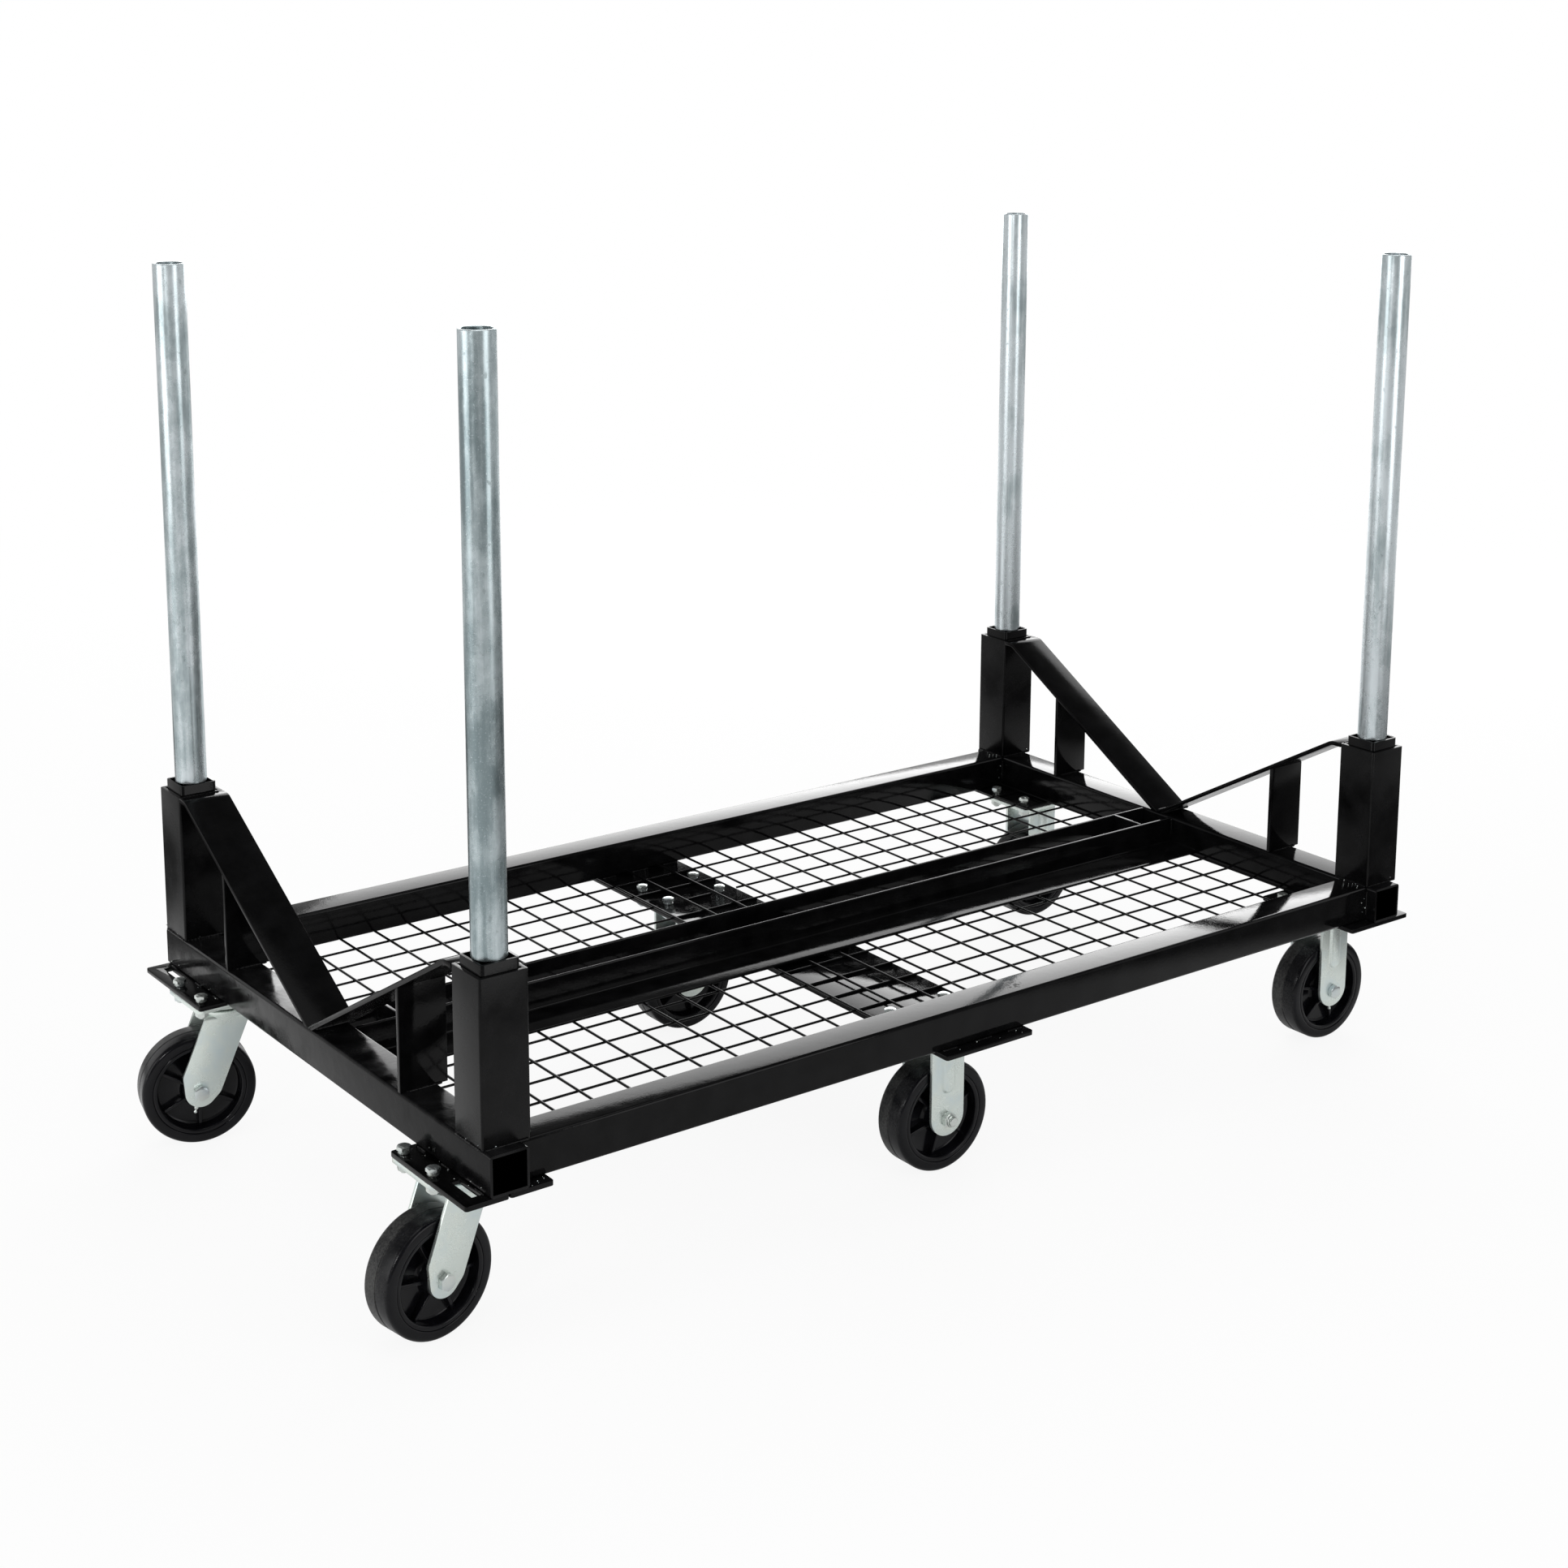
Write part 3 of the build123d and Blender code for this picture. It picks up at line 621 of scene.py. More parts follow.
# Casters
casterSet = {"plateX": 114.3, "plateY": 101.6, "plateThick": 6.35, "plateCorner": 9.0, "plateEdge": 0.8,
             "boltX": 92.1, "boltY": 70.0, "boltHead": 15.2, "boltHigh": 6.6, "boltDome": 1.2, "boltShank": 9.5,
             "boltTail": 3.0, "nutHigh": 8.2, "washerHigh": 3.8, "washerOut": 7.2, "washerHole": 4.6,
             "gap": 26.5, "strap": 4.8, "bend": 8.0, "swivelBend": 13.0, "edge": 0.5, "rigidLeg": 55.0,
             "footRise": 4.0, "ribWide": 24.0, "ribLow": 36.0, "ribSunk": 1.0,
             "ribSteps": ((0.8, 0.4), (0.8, 0.9), (0.8, 1.0), (0.9, 0.6), (1.2, 0.3)),
             "lean": 22.3, "leg": 56.0, "heel": 30.4, "foot": 21.0, "heelHigh": 24.0, "toeHigh": -3.0, "elbow": 3.0,
             "offset": 40.0, "raceHigh": 9.5, "raceGap": 0.4, "dishDeep": 17.0, "dishOut": 38.0, "dishHole": 12.0,
             "race": ((25, 0), (40, 0), (40.3, 3.4), (39, 6.2), (36.4, 8.4), (33.5, 9.5), (25, 9.5)),
             "axle": 6.37, "axleHead": 19.0, "axleHeadHigh": 7.6, "axleDome": 0.7, "axleNutHigh": 11.0,
             "axleTail": 3.0,
             "collar": ((6.6, 6), (8.2, 6), (8.6, 9), (8.0, 10.6), (7.2, 11), (6.6, 10.6)), "collarHigh": 3.2}
axleZ = joints["wheel_front_mid_spin"]["pos_m"][2]
plateTop = frameUnder - casterSet["plateThick"] * mm
crownZ = (plateTop - axleZ) / mm - casterSet["plateThick"]


def wheelMatrix(name):
    joint = joints["wheel_" + name + "_spin"]
    along = Vector(joint["axis"]).normalized()
    up = Vector((0, 0, 1))
    turn = Matrix((along.cross(up), along, up)).transposed().to_4x4()
    return shift(*joint["pos_m"]) @ turn


def pivotPlace(name):
    if name in swivels:
        spot = joints["swivel_" + name + "_turn"]["pos_m"]
    else:
        spot = joints["wheel_" + name + "_spin"]["pos_m"]
    return Vector((spot[0], spot[1], axleZ))


def smooth(value, low, high):
    t = max(0.0, min(1.0, (value - low) / (high - low)))
    return t * t * (3 - 2 * t)


def arcPoints(x, z, radius, start, end, steps=14):
    turns = [math.radians(start + (end - start) * i / steps) for i in range(steps + 1)]
    return [(x + radius * math.cos(turn), z + radius * math.sin(turn)) for turn in turns]


def rigidSides(s, top):
    half, rise = s["rigidLeg"] / 2, s["footRise"]
    left = [(-half, top)] + arcPoints(0, rise, half, 180, 270)
    right = [(half, top)] + arcPoints(0, rise, half, 0, -90)
    return left, right, []


def swivelSides(s, top):
    lean = math.radians(s["lean"])

    def legX(inset, z):
        return (z * math.sin(lean) + inset - s["heel"]) / math.cos(lean)

    def touch(spot, way):
        return math.degrees(math.atan2(spot[1], spot[0]) + way * math.acos(s["foot"] / math.hypot(*spot)))

    heel = (legX(0, s["heelHigh"]), s["heelHigh"])
    toe = (legX(s["leg"], s["toeHigh"]), s["toeHigh"])
    left = [(legX(0, top), top), heel] + arcPoints(0, 0, s["foot"], touch(heel, 1), 270)
    right = [(legX(s["leg"], top), top), toe] + arcPoints(0, 0, s["foot"], touch(toe, -1), -90)
    return left, right, [heel, toe]


def strapShape(s, top, sides, bend):
    # Flat blank of the strap, measured from the middle of its crown, then bent down over the wheel.
    left, right, elbows = sides
    flat = s["gap"] + s["strap"] - bend
    turn = bend * math.pi / 2

    def along(z):
        if z > top - bend:
            return flat + bend * math.acos((z - top + bend) / bend)
        return flat + turn + top - bend - z

    def side(points, way):
        (x0, z0), (x1, z1) = points[:2]
        knee = (x0 + (x1 - x0) * bend / (z0 - z1), top - bend)
        return [Vector((x, way * along(z), 0)) * mm for x, z in [points[0], knee] + points[1:]]

    outline = side(right, 1) + side(left, 1)[-2::-1] + side(left, -1) + side(right, -1)[-2::-1]
    bends = [(Vector((x, way * along(z), 0)) * mm, s["elbow"]) for x, z in elbows for way in (-1, 1)]
    bm = sheetShape(outline, (0, 0, -s["strap"] * mm), s["edge"], bends)
    cuts = 8
    for way in (-1, 1):
        for step in range(cuts + 1):
            cut = way * (flat + turn * step / cuts) * mm
            bmesh.ops.bisect_plane(bm, geom=list(bm.verts) + list(bm.edges) + list(bm.faces), dist=1e-7,
                                   plane_co=(0, cut, 0), plane_no=(0, 1, 0))
    for vert in bm.verts:
        x, reach, depth = vert.co / mm
        run = abs(reach) - flat
        angle = min(max(run, 0) / bend, math.pi / 2)
        y = min(abs(reach), flat) + (bend + depth) * math.sin(angle)
        z = top - bend + (bend + depth) * math.cos(angle) - max(run - turn, 0)
        vert.co = Vector((x, math.copysign(y, reach), z)) * mm
    return bm


def ribShape(s, top):
    # Pressed rib on a leg: a long pill raised in a few soft steps.
    bm = bmesh.new()
    radius = s["ribWide"] / 2
    bmesh.ops.create_circle(bm, cap_ends=True, radius=radius * mm, segments=32)
    stretch = (top - s["bend"] - s["ribLow"] - s["ribWide"]) * mm
    bmesh.ops.translate(bm, vec=(0, stretch, 0), verts=[v for v in bm.verts if v.co.y > 1e-6])
    bm.faces.ensure_lookup_table()
    face = faceOf(pushFaces(bm, [bm.faces[0]], (0, 0, s["ribSunk"] * mm)))
    if face.normal.z < 0:
        face.normal_flip()
    for wide, high in s["ribSteps"]:
        bmesh.ops.inset_individual(bm, faces=[face], thickness=wide * mm, depth=high * mm)
    outer = (s["gap"] + s["strap"] - s["ribSunk"]) * mm
    return placeShape(bm, shift(0, -outer, (s["ribLow"] + radius) * mm) @ spin(90, "X"))


def dishShape(s, top):
    # Round pressed crown of the swivel fork, under the race.
    low = top - s["dishDeep"]
    side = s["gap"] + s["strap"]
    wide, hole = s["dishOut"], s["dishHole"]
    profile = [(hole, top - 0.2), (wide - 1.2, top - 0.2), (wide, top - 1.2), (wide, top - 3.2),
               (wide - 1.0, top - 5.6), (wide - 3.0, top - 8.6), (side + 1.5, top - 13), (side - 0.5, low),
               (side - 4, low), (wide - 6, top - 5), (hole, top - 5)]
    return placeShape(latheShape(profile, 72, "Z"), shift(s["offset"] * mm, 0, 0))


def topPlate(s):
    half = Vector((s["plateX"] / 2, s["plateY"] / 2, 0)) * mm
    low = Vector((-half.x, -half.y, crownZ * mm))
    high = Vector((half.x, half.y, (crownZ + s["plateThick"]) * mm))
    return plateShape(low, high, s["plateCorner"], edge=s["plateEdge"])


def rodShape(radius, start, end, steps=32, lip=0.7):
    profile = [(0, start), (radius - lip, start), (radius, start + lip), (radius, end - lip), (radius - lip, end),
               (0, end)]
    return latheShape(profile, steps, "Z")


def axleBoltShape(s):
    # Head towards -Y, plain shank through the fork.
    face = s["gap"] + s["strap"]
    head = hexShape(s["axleHead"], s["axleHeadHigh"] - s["axleDome"], 0.94, 0.6, s["axleDome"])
    placeShape(head, shift(0, 0, face * mm))
    shank = rodShape(s["axle"], -face - s["axleNutHigh"] - s["axleTail"], face + 1)
    return placeShape(joinShapes([head, shank]), spin(90, "X"))


def axleNutShape(s):
    # Lock nut: hexagon with a rounded collar.
    face = s["gap"] + s["strap"]
    body = hexShape(s["axleHead"], s["axleNutHigh"] - s["collarHigh"], 0.93, 0.5)
    collar = latheShape(s["collar"], 40, "Z")
    return placeShape(joinShapes([body, collar]), spin(-90, "X") @ shift(0, 0, face * mm))


def addCasters(s):
    half = spin(180, "Z")
    swivelTop = crownZ - s["raceHigh"] - s["raceGap"]
    strap = strapShape(s, swivelTop, swivelSides(s, swivelTop), s["swivelBend"])
    swivelFork = joinShapes([strap, dishShape(s, swivelTop)])
    strap = strapShape(s, crownZ, rigidSides(s, crownZ), s["bend"])
    ribs = [ribShape(s, crownZ), placeShape(ribShape(s, crownZ), half)]
    rigidFork = joinShapes([strap, topPlate(s)] + ribs)
    for name in rigids:
        addZinc(placeShape(rigidFork.copy(), wheelMatrix(name)), "fork_" + name + ".strap", "fork_" + name)
    for name in swivels:
        place, body = wheelMatrix(name), "swivel_" + name
        addZinc(placeShape(swivelFork.copy(), place), "fork_" + name + ".strap", "fork_" + name, zinc, body)
        addZinc(placeShape(axleBoltShape(s), place), "axleBolt_" + name, "axle_bolt_" + name, brightZinc, body)
        addZinc(placeShape(axleNutShape(s), place), "axleNut_" + name, "axle_nut_" + name, brightZinc, body)
    rigidFork.free()
    swivelFork.free()
    turned = [wheelMatrix(name) @ half if name == "front_mid" else wheelMatrix(name) for name in rigids]
    for shape, name, node in ((axleBoltShape, "rigidAxleBolts", "rigid_axle_bolts"),
                              (axleNutShape, "rigidAxleNuts", "rigid_axle_nuts")):
        addZinc(joinShapes([placeShape(shape(s), place) for place in turned]), name, node, brightZinc)
    race = [(radius, crownZ - deep) for radius, deep in s["race"]]
    plates, races = [], []
    for name in swivels:
        place = shift(*pivotPlace(name))
        plates.append(placeShape(topPlate(s), place))
        races.append(placeShape(latheShape(race, 64, "Z"), place))
    addZinc(joinShapes(plates), "swivelPlates", "swivel_plates")
    addZinc(joinShapes(races), "swivelRaces", "swivel_races")


def boltPlaces(s):
    for name in swivels + rigids:
        spot = pivotPlace(name)
        for number, (wayX, wayY) in enumerate(((-1, -1), (-1, 1), (1, -1), (1, 1))):
            x = spot.x + wayX * s["boltX"] / 2 * mm
            y = spot.y + wayY * s["boltY"] / 2 * mm
            yield number, x, y


def addFasteners(s):
    out, high, hole = s["washerOut"], s["washerHigh"], s["washerHole"]
    waist = high / 2
    washerLine = [(hole, 0), (out - 0.4, 0), (out, 0.4), (out, waist - 0.3), (out - 0.5, waist), (out, waist + 0.3),
                  (out, high - 0.4), (out - 0.4, high), (hole, high)]
    lift = high * mm
    foot = plateTop - (s["plateThick"] + s["nutHigh"] + s["boltTail"]) * mm
    flip = spin(180, "X")
    bolts, nuts = [], []
    for number, x, y in boltPlaces(s):
        turn = spin(30 if x > rightInner else 17 * number, "Z")
        bolts.append(placeShape(latheShape(washerLine, 32, "Z"), shift(x, y, frameUnder)))
        head = hexShape(s["boltHead"], s["boltHigh"] - s["boltDome"], 0.92, 0.5, s["boltDome"])
        bolts.append(placeShape(head, shift(x, y, frameUnder + lift) @ turn))
        shank = rodShape(s["boltShank"] / 2, 0, (frameUnder + lift - foot) / mm + 1, 24)
        bolts.append(placeShape(shank, shift(x, y, foot)))
        nut = hexShape(s["boltHead"], s["nutHigh"], 0.93, 0.5)
        nuts.append(placeShape(nut, shift(x, y, plateTop - s["plateThick"] * mm) @ flip @ turn))
    addZinc(joinShapes(bolts), "casterBolts", "caster_bolts", brightZinc)
    addZinc(joinShapes(nuts), "casterNuts", "caster_nuts", brightZinc)


addCasters(casterSet)
addFasteners(casterSet)
print("stage: casters")


# Wheels: tyre and moulded core, turned about the axle
wheelSet = {"radius": 76.2, "half": 24.0, "seat": 62.3, "steps": 96,
            "rim": ((10.1, 26), (20.2, 26), (21.4, 24.8), (22.2, 12), (24.5, 8.6), (28, 7.0), (50.5, 7.0),
                    (53.6, 8.4), (55.0, 12), (55.6, 19.4), (56.0, 21.6), (56.8, 23.0), (58.0, 23.6), (60.8, 23.7),
                    (61.6, 23.4), (62.1, 22.8)),
            "spokes": 6, "spokeWide": 5.2, "spokeIn": 20, "spokeOut": 55, "spokeHalf": 15.5, "spokeEdge": 1.2,
            "flareIn": 30, "flare": 1.3,
            "nippleLine": ((0, 20.6), (3.4, 20.6), (3.4, 25.6), (2.4, 26.4), (1.8, 27.4), (1.8, 29.0), (2.7, 30.2),
                           (2.7, 31.4), (1.7, 32.7), (0, 33.2)),
            "nippleOut": 22.6,
            "turns": {"front_left": (-55, 68), "back_left": (-30, 256), "front_mid": (-18, 85), "back_mid": (-41, 95),
                      "front_right": (-48, 277), "back_right": (-9, 88)}}


def tyreShape(s):
    seat, radius, half = s["seat"], s["radius"], s["half"]
    side = [(seat, half - 1.0), (seat + 0.3, half - 0.5), (seat + 0.9, half - 0.15), (seat + 2.0, half),
            (radius - 5.4, half - 0.1), (radius - 3.6, half - 0.6), (radius - 2.1, half - 1.6),
            (radius - 1.0, half - 3.0), (radius - 0.3, half - 4.6), (radius, half - 6.4), (radius, 1.8),
            (radius - 0.8, 1.0), (radius - 0.8, 0)]
    bm = latheShape([(r, -a) for r, a in side] + [(r, a) for r, a in reversed(side[:-1])], s["steps"])
    layer = bm.verts.layers.float.new("tread")
    for vert in bm.verts:
        reach = math.hypot(vert.co.x, vert.co.z) / mm
        vert[layer] = smooth(reach, radius - 4, radius - 0.6) * (0.5 + 0.5 * smooth(vert.co.y / mm, -2, 2))
    return bm


def coreShape(s, start):
    parts = [latheShape([(r, -a) for r, a in s["rim"]] + [(r, a) for r, a in reversed(s["rim"])], s["steps"])]
    wide = s["spokeWide"] / 2
    for number in range(s["spokes"]):
        rib = bmesh.new()
        addBlock(rib, Vector((s["spokeIn"], -s["spokeHalf"], -wide)) * mm,
                 Vector((s["spokeOut"], s["spokeHalf"], wide)) * mm)
        softenEdges(rib, s["spokeEdge"], 3)
        for vert in rib.verts:
            if vert.co.x < s["flareIn"] * mm:
                vert.co.y *= s["flare"]
        parts.append(placeShape(rib, spin(start + 360 / s["spokes"] * number, "Y")))
    return joinShapes(parts)


def addWheels(s):
    for name in swivels + rigids:
        place, body = wheelMatrix(name), "wheel_" + name
        addPiece(placeShape(tyreShape(s), place), "tyre_" + name + ".rubber", body, rubber, ["tyre_" + name])
        spokeTurn, nippleTurn = s["turns"][name]
        core = placeShape(coreShape(s, spokeTurn), place)
        addPiece(core, "core_" + name + ".moulding", body, moulded, ["core_" + name])
        # Grease nipple: threaded foot, neck and ball end, standing up from the hub
        hub = place @ shift(0, -s["nippleOut"] * mm, 0) @ spin(90 - nippleTurn, "Y")
        nipple = placeShape(latheShape(s["nippleLine"], 20, "Z"), hub)
        addPiece(nipple, "greaseNipple_" + name, body, brightZinc)


addWheels(wheelSet)
print("stage: wheels")


# Bed mesh: two layers of nearly straight wires, left out round the bolt heads
meshSet = {"wire": 1.75, "pitch": 53.9, "startX": 3.8, "startY": 11.1, "room": 12.3, "wander": 0.35, "stops": 60}


def wireShape(name, runs, depth, resolution):
    data = bpy.data.curves.new(name, "CURVE")
    data.dimensions = "3D"
    data.bevel_depth = depth
    data.bevel_resolution = resolution
    data.use_fill_caps = True
    for run in runs:
        spline = data.splines.new("POLY")
        spline.points.add(len(run) - 1)
        for point, (place, swell) in zip(spline.points, run):
            point.co = (*place, 1)
            point.radius = swell
    holder = bpy.data.objects.new(name + ".line", data)
    mesh = bpy.data.meshes.new_from_object(holder)
    bpy.data.objects.remove(holder)
    bpy.data.curves.remove(data)
    bm = bmesh.new()
    bm.from_mesh(mesh)
    bpy.data.meshes.remove(mesh)
    return bm


def addBed(s):
    low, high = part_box("bed_mesh")
    wire = s["wire"] * mm
    pitch = s["pitch"] * mm
    room = s["room"] * mm
    originX = (low.x + high.x) / 2 + s["startX"] * mm
    bolts = [(x, y) for number, x, y in boltPlaces(casterSet)]
    places = {0: [], 1: []}
    for axis, start in ((0, originX), (1, s["startY"] * mm)):
        count = math.ceil((low[axis] + 2 * wire - start) / pitch)
        while start + pitch * count < high[axis] - 2 * wire:
            places[axis].append(start + pitch * count)
            count += 1
    runs = []
    for along, across, z in ((0, 1, low.z + wire), (1, 0, low.z + 3 * wire)):
        for number, level in enumerate(places[across]):
            runs.append([])
            for i in range(s["stops"] + 1):
                stop = low[along] + (high[along] - low[along]) * i / s["stops"]
                drift = noise.noise((stop * 3, number * 7.3 + along * 50, 0)) * s["wander"] * mm
                spot = Vector((0, 0, z))
                spot[along] = stop
                spot[across] = level + drift
                near = min((spot.x - x) ** 2 + (spot.y - y) ** 2 for x, y in bolts) ** 0.5
                if near < room:
                    runs.append([])
                else:
                    runs[-1].append((spot, 1.0))
    runs = [run for run in runs if len(run) > 1]
    addPiece(wireShape("bedWires", runs, wire, 2), "bedWires", "frame", wireCoat, ["bed_mesh"], 50)
    print("bed wires", len(places[1]), "by", len(places[0]))


addBed(meshSet)
print("stage: bed")


# Weld beads: rippled runs along the joints, each kind with a size and most with an inset from both ends
weldSet = {"step": 1.6, "size": 2.1, "even": 0.86, "ripple": 0.1, "rippleTurn": 2.1, "lump": 0.22, "lumpScale": 120,
           "wobble": 0.35, "wobbleScale": 180, "tip": 0.55, "flush": 3.0,
           "foot": (1.7, 3), "barTop": (1.6, 6), "barUnder": (1.8, 6), "valley": (2.3, 3), "landing": (2.0, 3),
           "strut": (1.9, 8), "tube": (1.9, 7), "tubeLid": (1.5, 7), "angle": 1.9, "spacer": 1.6, "pad": 1.9,
           "cross": 2.0,
           "padRuns": ((14, 34), (92, 112), (150, 168)), "crossRuns": ((6, 30), (60, 88), (116, 140))}


def beadRun(start, end, size, s, seed):
    start, end = Vector(start), Vector(end)
    count = max(4, int((end - start).length / (s["step"] * mm)))
    run = []
    for i in range(count + 1):
        place = start.lerp(end, i / count)
        shake = [noise.noise((place + Vector((k * 3.1, seed, 0))) * s["wobbleScale"]) for k in range(3)]
        swell = size / s["size"] * (s["even"] + s["ripple"] * math.sin(i * s["rippleTurn"] + seed)
                                    + s["lump"] * noise.noise(place * s["lumpScale"] + Vector((seed, 0, 0))))
        if i in (0, count):
            swell *= s["tip"]
        run.append((place + Vector(shake) * s["wobble"] * mm, swell))
    return run


def addWelds(s):
    runs = []

    def bead(start, end, size):
        runs.append(beadRun(start, end, size, s, len(runs) * 1.7))

    def beadAlong(axis, kind, place):
        # Across the present box along one axis, at the given place on the other two.
        size, inset = s[kind]
        start, end = Vector(place), Vector(place)
        start[axis] = low[axis] + inset * mm
        end[axis] = high[axis] - inset * mm
        bead(start, end, size)

    barThick = cradleSet["thick"] * mm
    for corner, (low, high) in posts.items():
        for y in (low.y, high.y):
            if abs(y) < cadHigh.y - s["flush"] * mm:  # flush sides are ground smooth
                beadAlong(0, "foot", (0, y, frameTop))
        for x in (low.x, high.x):
            beadAlong(1, "foot", (x, 0, frameTop))
        barY = high.y if "front" in corner else low.y
        beadAlong(0, "barTop", (0, barY, postTop - 0.5 * mm))
        beadAlong(0, "barUnder", (0, barY, postTop - barThick))
    for side in ("left", "right"):
        low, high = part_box("v_bars_" + side)
        middle = (low.y + high.y) / 2
        beadAlong(0, "valley", (0, middle, frameTop + 2.2 * mm))
        for way in (-1, 1):
            beadAlong(0, "landing", (0, middle + way * cradleSet["landing"] * mm, frameTop))
            for lean in (-1, 1):
                y = middle + way * cradleSet["strut"] * mm + lean * cradleSet["thick"] / 2 * mm
                beadAlong(0, "strut", (0, y, frameTop))
    for node in sideTubes:
        low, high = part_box(node)
        for x in (low.x, high.x):
            for y in (low.y, high.y):
                beadAlong(2, "tube", (x, y, 0))
            for z in (high.z - 0.4 * mm, low.z + 0.4 * mm):
                beadAlong(1, "tubeLid", (x, 0, z))
    for side, way in (("front", -1), ("back", 1)):
        low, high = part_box("centre_angle_" + side)
        leg = (high.y if way < 0 else low.y) + way * troughSet["thick"] * mm
        flange = low.y if way < 0 else high.y
        z = low.z + troughSet["thick"] * mm
        for x in (low.x, high.x):
            bead((x, leg, low.z + 10 * mm), (x, leg, high.z - 2 * mm), s["angle"])
            bead((x, leg + way * 8 * mm, z), (x, flange - way * 4 * mm, z), s["angle"])
    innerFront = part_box("centre_angle_front")[1].y
    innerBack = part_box("centre_angle_back")[0].y
    low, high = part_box("trough_spacers")
    for x in (low.x, high.x):
        for y in (innerFront, innerBack):
            bead((x, y, low.z + 4 * mm), (x, y, high.z - 2 * mm), s["spacer"])
    for node, outer in (("left_outer_pads", endLow.x), ("right_pads", rightInner)):
        low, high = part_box(node)
        for end, way in ((low.y, 1), (high.y, -1)):
            for first, last in s["padRuns"]:
                start, stop = end + way * first * mm, end + way * last * mm
                bead((outer, start, frameUnder), (outer, stop, frameUnder), s["pad"])
    low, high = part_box("mid_cross_plate")
    for node in sideTubes:
        for y in (corner.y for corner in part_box(node)):
            if low.y < y < high.y - 2 * mm:
                for first, last in s["crossRuns"]:
                    bead((low.x + first * mm, y, frameUnder), (low.x + last * mm, y, frameUnder), s["cross"])
    addPiece(wireShape("weldBeads", runs, s["size"] * mm, 2), "weldBeads", "frame", coat, (), 60)


addWelds(weldSet)


# Weld spatter: small drops beside the joints, in bright zinc as painted glints, where spatter coated black like the
# frame would show only small highlights
spatterSet = {"small": 0.6, "large": 1.5, "spread": 11.0, "form": (1.15, 0.9, 0.85), "rise": 0.35,
              "steps": (0.754878, 0.569840, 0.419643), "sizeStep": 0.618034}


def addSpatter(s):
    drops = []
    spread = s["spread"] * mm
    up, ahead = (0, 0, 1), (0, -1, 0)
    top, under = (frameTop, frameTop), (frameUnder, frameUnder)

    def throw(count, xs, ys, zs, normal):
        # Drops strewn over a rectangle of a face, on an even but unordered pattern.
        for key in range(len(drops) + 1, len(drops) + 1 + count):
            share = [(key * step) % 1 for step in s["steps"]]
            place = Vector([a + (b - a) * t for (a, b), t in zip((xs, ys, zs), share)])
            size = s["small"] + (s["large"] - s["small"]) * ((key * s["sizeStep"]) % 1) ** 3
            drop = bmesh.new()
            bmesh.ops.create_icosphere(drop, subdivisions=1, radius=size * mm)
            bmesh.ops.scale(drop, vec=s["form"], verts=drop.verts)
            turn = Matrix.Rotation(key * 2.4, 4, Vector(normal))
            drops.append(placeShape(drop, shift(*(place + Vector(normal) * size * s["rise"] * mm)) @ turn))

    for corner, (low, high) in posts.items():
        left = "left" in corner
        face = low.x if left else high.x
        beside = (high.x + 2 * mm, high.x + spread) if left else (low.x - spread, low.x - 2 * mm)
        foot = (frameTop + mm, frameTop + spread / 2)
        throw(2, (face, face), (low.y, high.y), foot, (-1 if left else 1, 0, 0))
        throw(1, (low.x, high.x), (low.y, low.y), foot, ahead)
        throw(3, beside, (low.y + 4 * mm, low.y + 30 * mm), top, up)
    low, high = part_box("left_outer_pads")
    length = plateSet["length"] * mm
    for start in (low.y + 4 * mm, high.y - length + 4 * mm):
        ys = (start, start + length - 8 * mm)
        throw(5, (endLow.x - spread, endLow.x - mm), ys, under, up)
        throw(4, (endLow.x, endLow.x), ys, (frameUnder + mm, frameUnder + spread), (-1, 0, 0))
    low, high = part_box("left_inner_pads")
    frontLow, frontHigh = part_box("side_tube_front")
    throw(9, (low.x + 8 * mm, low.x + 50 * mm), (low.y + 2 * mm, frontLow.y - mm), under, up)
    for node in sideTubes:
        low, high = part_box(node)
        for xs in ((low.x, low.x + spread), (high.x - spread, high.x)):
            throw(4, xs, (low.y, low.y), (frameUnder + 8 * mm, frameTop - 8 * mm), ahead)
            throw(2, xs, (low.y + 8 * mm, high.y - 8 * mm), top, up)
    low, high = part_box("mid_cross_plate")
    xs = (low.x + 6 * mm, high.x - 6 * mm)
    throw(6, xs, (frontHigh.y + mm, frontHigh.y + spread), under, up)
    throw(5, xs, (low.y + 3 * mm, frontLow.y - mm), under, up)
    for side in ("left", "right"):
        low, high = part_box("v_bars_" + side)
        middle = (low.y + high.y) / 2
        for lean in (-1, 1):
            y = middle + lean * cradleSet["strut"] * mm
            throw(3, (low.x + 4 * mm, high.x - 4 * mm), (y + 5 * mm, y + spread), top, up)
    # The drops' bright zinc is a painted glint, not their own colour.
    addPiece(joinShapes(drops), "weldSpatterPaintedGlints", "frame", brightZinc, (), 80)
    print("drops of spatter", len(drops))


addSpatter(spatterSet)
print("stage: welds")


# Bushings and kingpins stay as they are, in zinc
for node in ("bushing_front_left", "bushing_back_left", "rigid_bushings", "kingpins"):
    mesh = frame["nodes"][node].data
    mesh.materials.clear()
    mesh.materials.append(zinc)


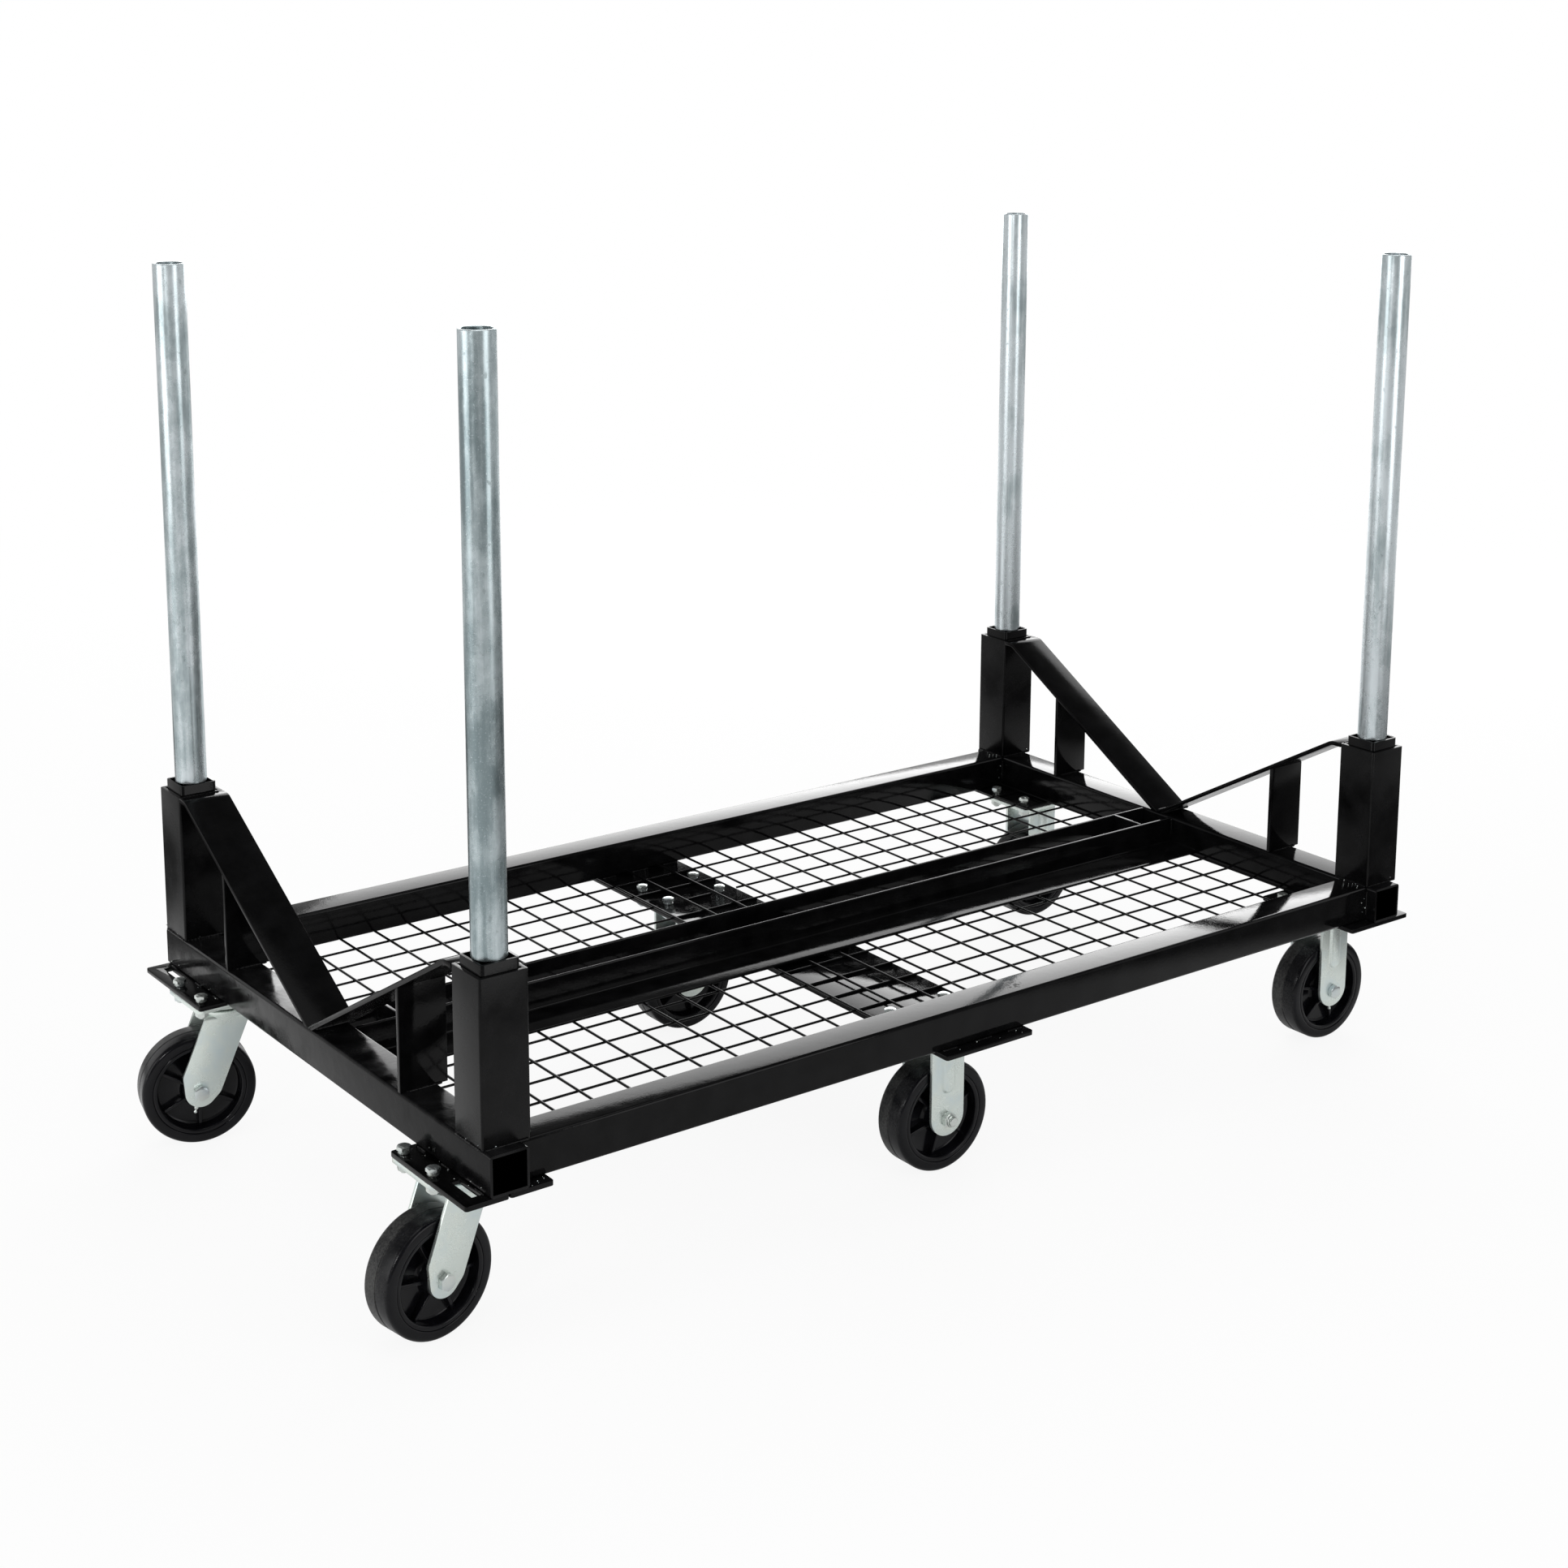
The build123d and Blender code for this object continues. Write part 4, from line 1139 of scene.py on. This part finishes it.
# Floor, world and lamps
floorSet = {"size": 30, "rough": 0.9, "pale": 0.86, "dim": 0.1, "keep": 0.8, "lift": 0.9, "white": (1.6, 4.5),
            "shade": ((-0.7, 1.75, 0.0), (0.6, 1.0)), "pool": ((-1.1, 0.6, 0.0), (0.4, 1.0)),
            "under": ((-0.5, 0.15, 0.0), (0.2, 0.5)), "right": ((0.8, -0.6, 0.0), (1.02, 1.36)), "far": (2.6, 4.0),
            "shine": 0.15, "poolShine": 0.6, "underKeep": 0.4}
worldSet = {"strength": 0.55, "dark": 0.15, "horizon": 0.7, "ground": 0.06, "away": (0.61, 0.79, 0.0),
            "turn": (-0.4, 0.35), "fade": (0.25, 0.7)}
lampSet = {"left": ((-4.2, 0.6, 1.3), (2.4, 2.3), 31), "right": ((0.5, -3.0, 1.3), (1.5, 2.2), 17),
           "back": ((3.3, 3.5, 2.2), (5.6, 3.4), 190), "top": ((-0.6, -1.0, 3.6), (2.2, 2.2), 14),
           "spark": ((-2.9, -1.5, 1.5), (0.4, 0.4), 13)}


def addFloor(s):
    bm = bmesh.new()
    bmesh.ops.create_grid(bm, x_segments=1, y_segments=1, size=s["size"])
    mesh = bpy.data.meshes.new("floor")
    bm.to_mesh(mesh)
    bm.free()
    floor = bpy.data.objects.new("floor", mesh)
    scene.collection.objects.link(floor)
    kit, spot, feed = newMaterial("paleFloor", Roughness=s["rough"], Specular_IOR_Level=0.0)
    seen = kit.node("ShaderNodeLightPath", out="Is Camera Ray")
    shine = kit.node("ShaderNodeLightPath", out="Is Glossy Ray")
    # White all round for the camera, with the shadow near the cart; in reflections it carries painted shade behind
    # the cart, under it and to its right front, and a painted pool of light off its left side
    reach = kit.vector("LENGTH", spot, (0, 0, 0))
    shade, pool, under = (kit.vector("DISTANCE", spot, middle).ramp(*edge)
                          for middle, edge in (s["shade"], s["pool"], s["under"]))
    right = kit.vector("DOT_PRODUCT", spot, s["right"][0]).ramp(*s["right"][1])
    clear = shade * (1 - right * (1 - reach.ramp(*s["far"]))) * (s["underKeep"] + (1 - s["underKeep"]) * under)
    pale, dim = ((s[key], s[key], s[key], 1) for key in ("pale", "dim"))
    material = feed(Base_Color=kit.blend(shine * (1 - s["keep"] * clear), pale, dim))
    white = seen * (s["lift"] + (1 - s["lift"]) * reach.ramp(*s["white"]))
    share = white + shine * clear * (s["shine"] + s["poolShine"] * (1 - pool))
    tree = material.node_tree
    plain = Link(tree, tree.nodes["Principled BSDF"].outputs[0])
    glow = kit.node("ShaderNodeEmission", None, {"Color": (1, 1, 1, 1), "Strength": 1.0})
    lit = kit.node("ShaderNodeMixShader", None, {0: share.clamp(), 1: plain, 2: glow})
    tree.links.new(lit.socket, tree.nodes["Material Output"].inputs["Surface"])
    mesh.materials.append(material)


def addWorld(s):
    world = bpy.data.worlds.new("studio")
    world.use_nodes = True
    scene.world = world
    tree = world.node_tree
    kit = Link(tree)
    seen, shine, through = (kit.node("ShaderNodeLightPath", out=kind)
                            for kind in ("Is Camera Ray", "Is Glossy Ray", "Is Transmission Ray"))
    # Reflections show the white backdrop behind the cart, and the dim side of the studio in front of it
    way = kit.node("ShaderNodeTexCoord", out="Generated")
    behind = kit.vector("DOT_PRODUCT", way, s["away"])
    height = kit.node("ShaderNodeSeparateXYZ", None, {"Vector": way}, "Z")
    low = (s["horizon"] - s["dark"]) * behind.ramp(*s["turn"]) + s["ground"]
    backdrop = s["dark"] + low * (1 - height.ramp(*s["fade"]))
    mirror = shine * (1 - seen)
    plain = s["strength"] + (1 - s["strength"]) * (seen + through).clamp()
    power = plain + mirror * (backdrop - s["strength"])
    back = tree.nodes["Background"]
    back.inputs["Color"].default_value = (1, 1, 1, 1)
    tree.links.new(power.socket, back.inputs["Strength"])


def addLamps(lamps):
    for name, (place, (wide, tall), watts) in lamps.items():
        data = bpy.data.lights.new(name, "AREA")
        data.shape = "RECTANGLE"
        data.size = wide
        data.size_y = tall
        data.energy = watts
        lamp = bpy.data.objects.new(name, data)
        lamp.location = place
        lamp.rotation_euler = (Vector((0, 0, 0.5)) - Vector(place)).to_track_quat("-Z", "Y").to_euler()
        lamp.visible_camera = False
        scene.collection.objects.link(lamp)


addFloor(floorSet)
addWorld(worldSet)
addLamps(lampSet)
scene.view_settings.view_transform = "Standard"
print("stage: studio")
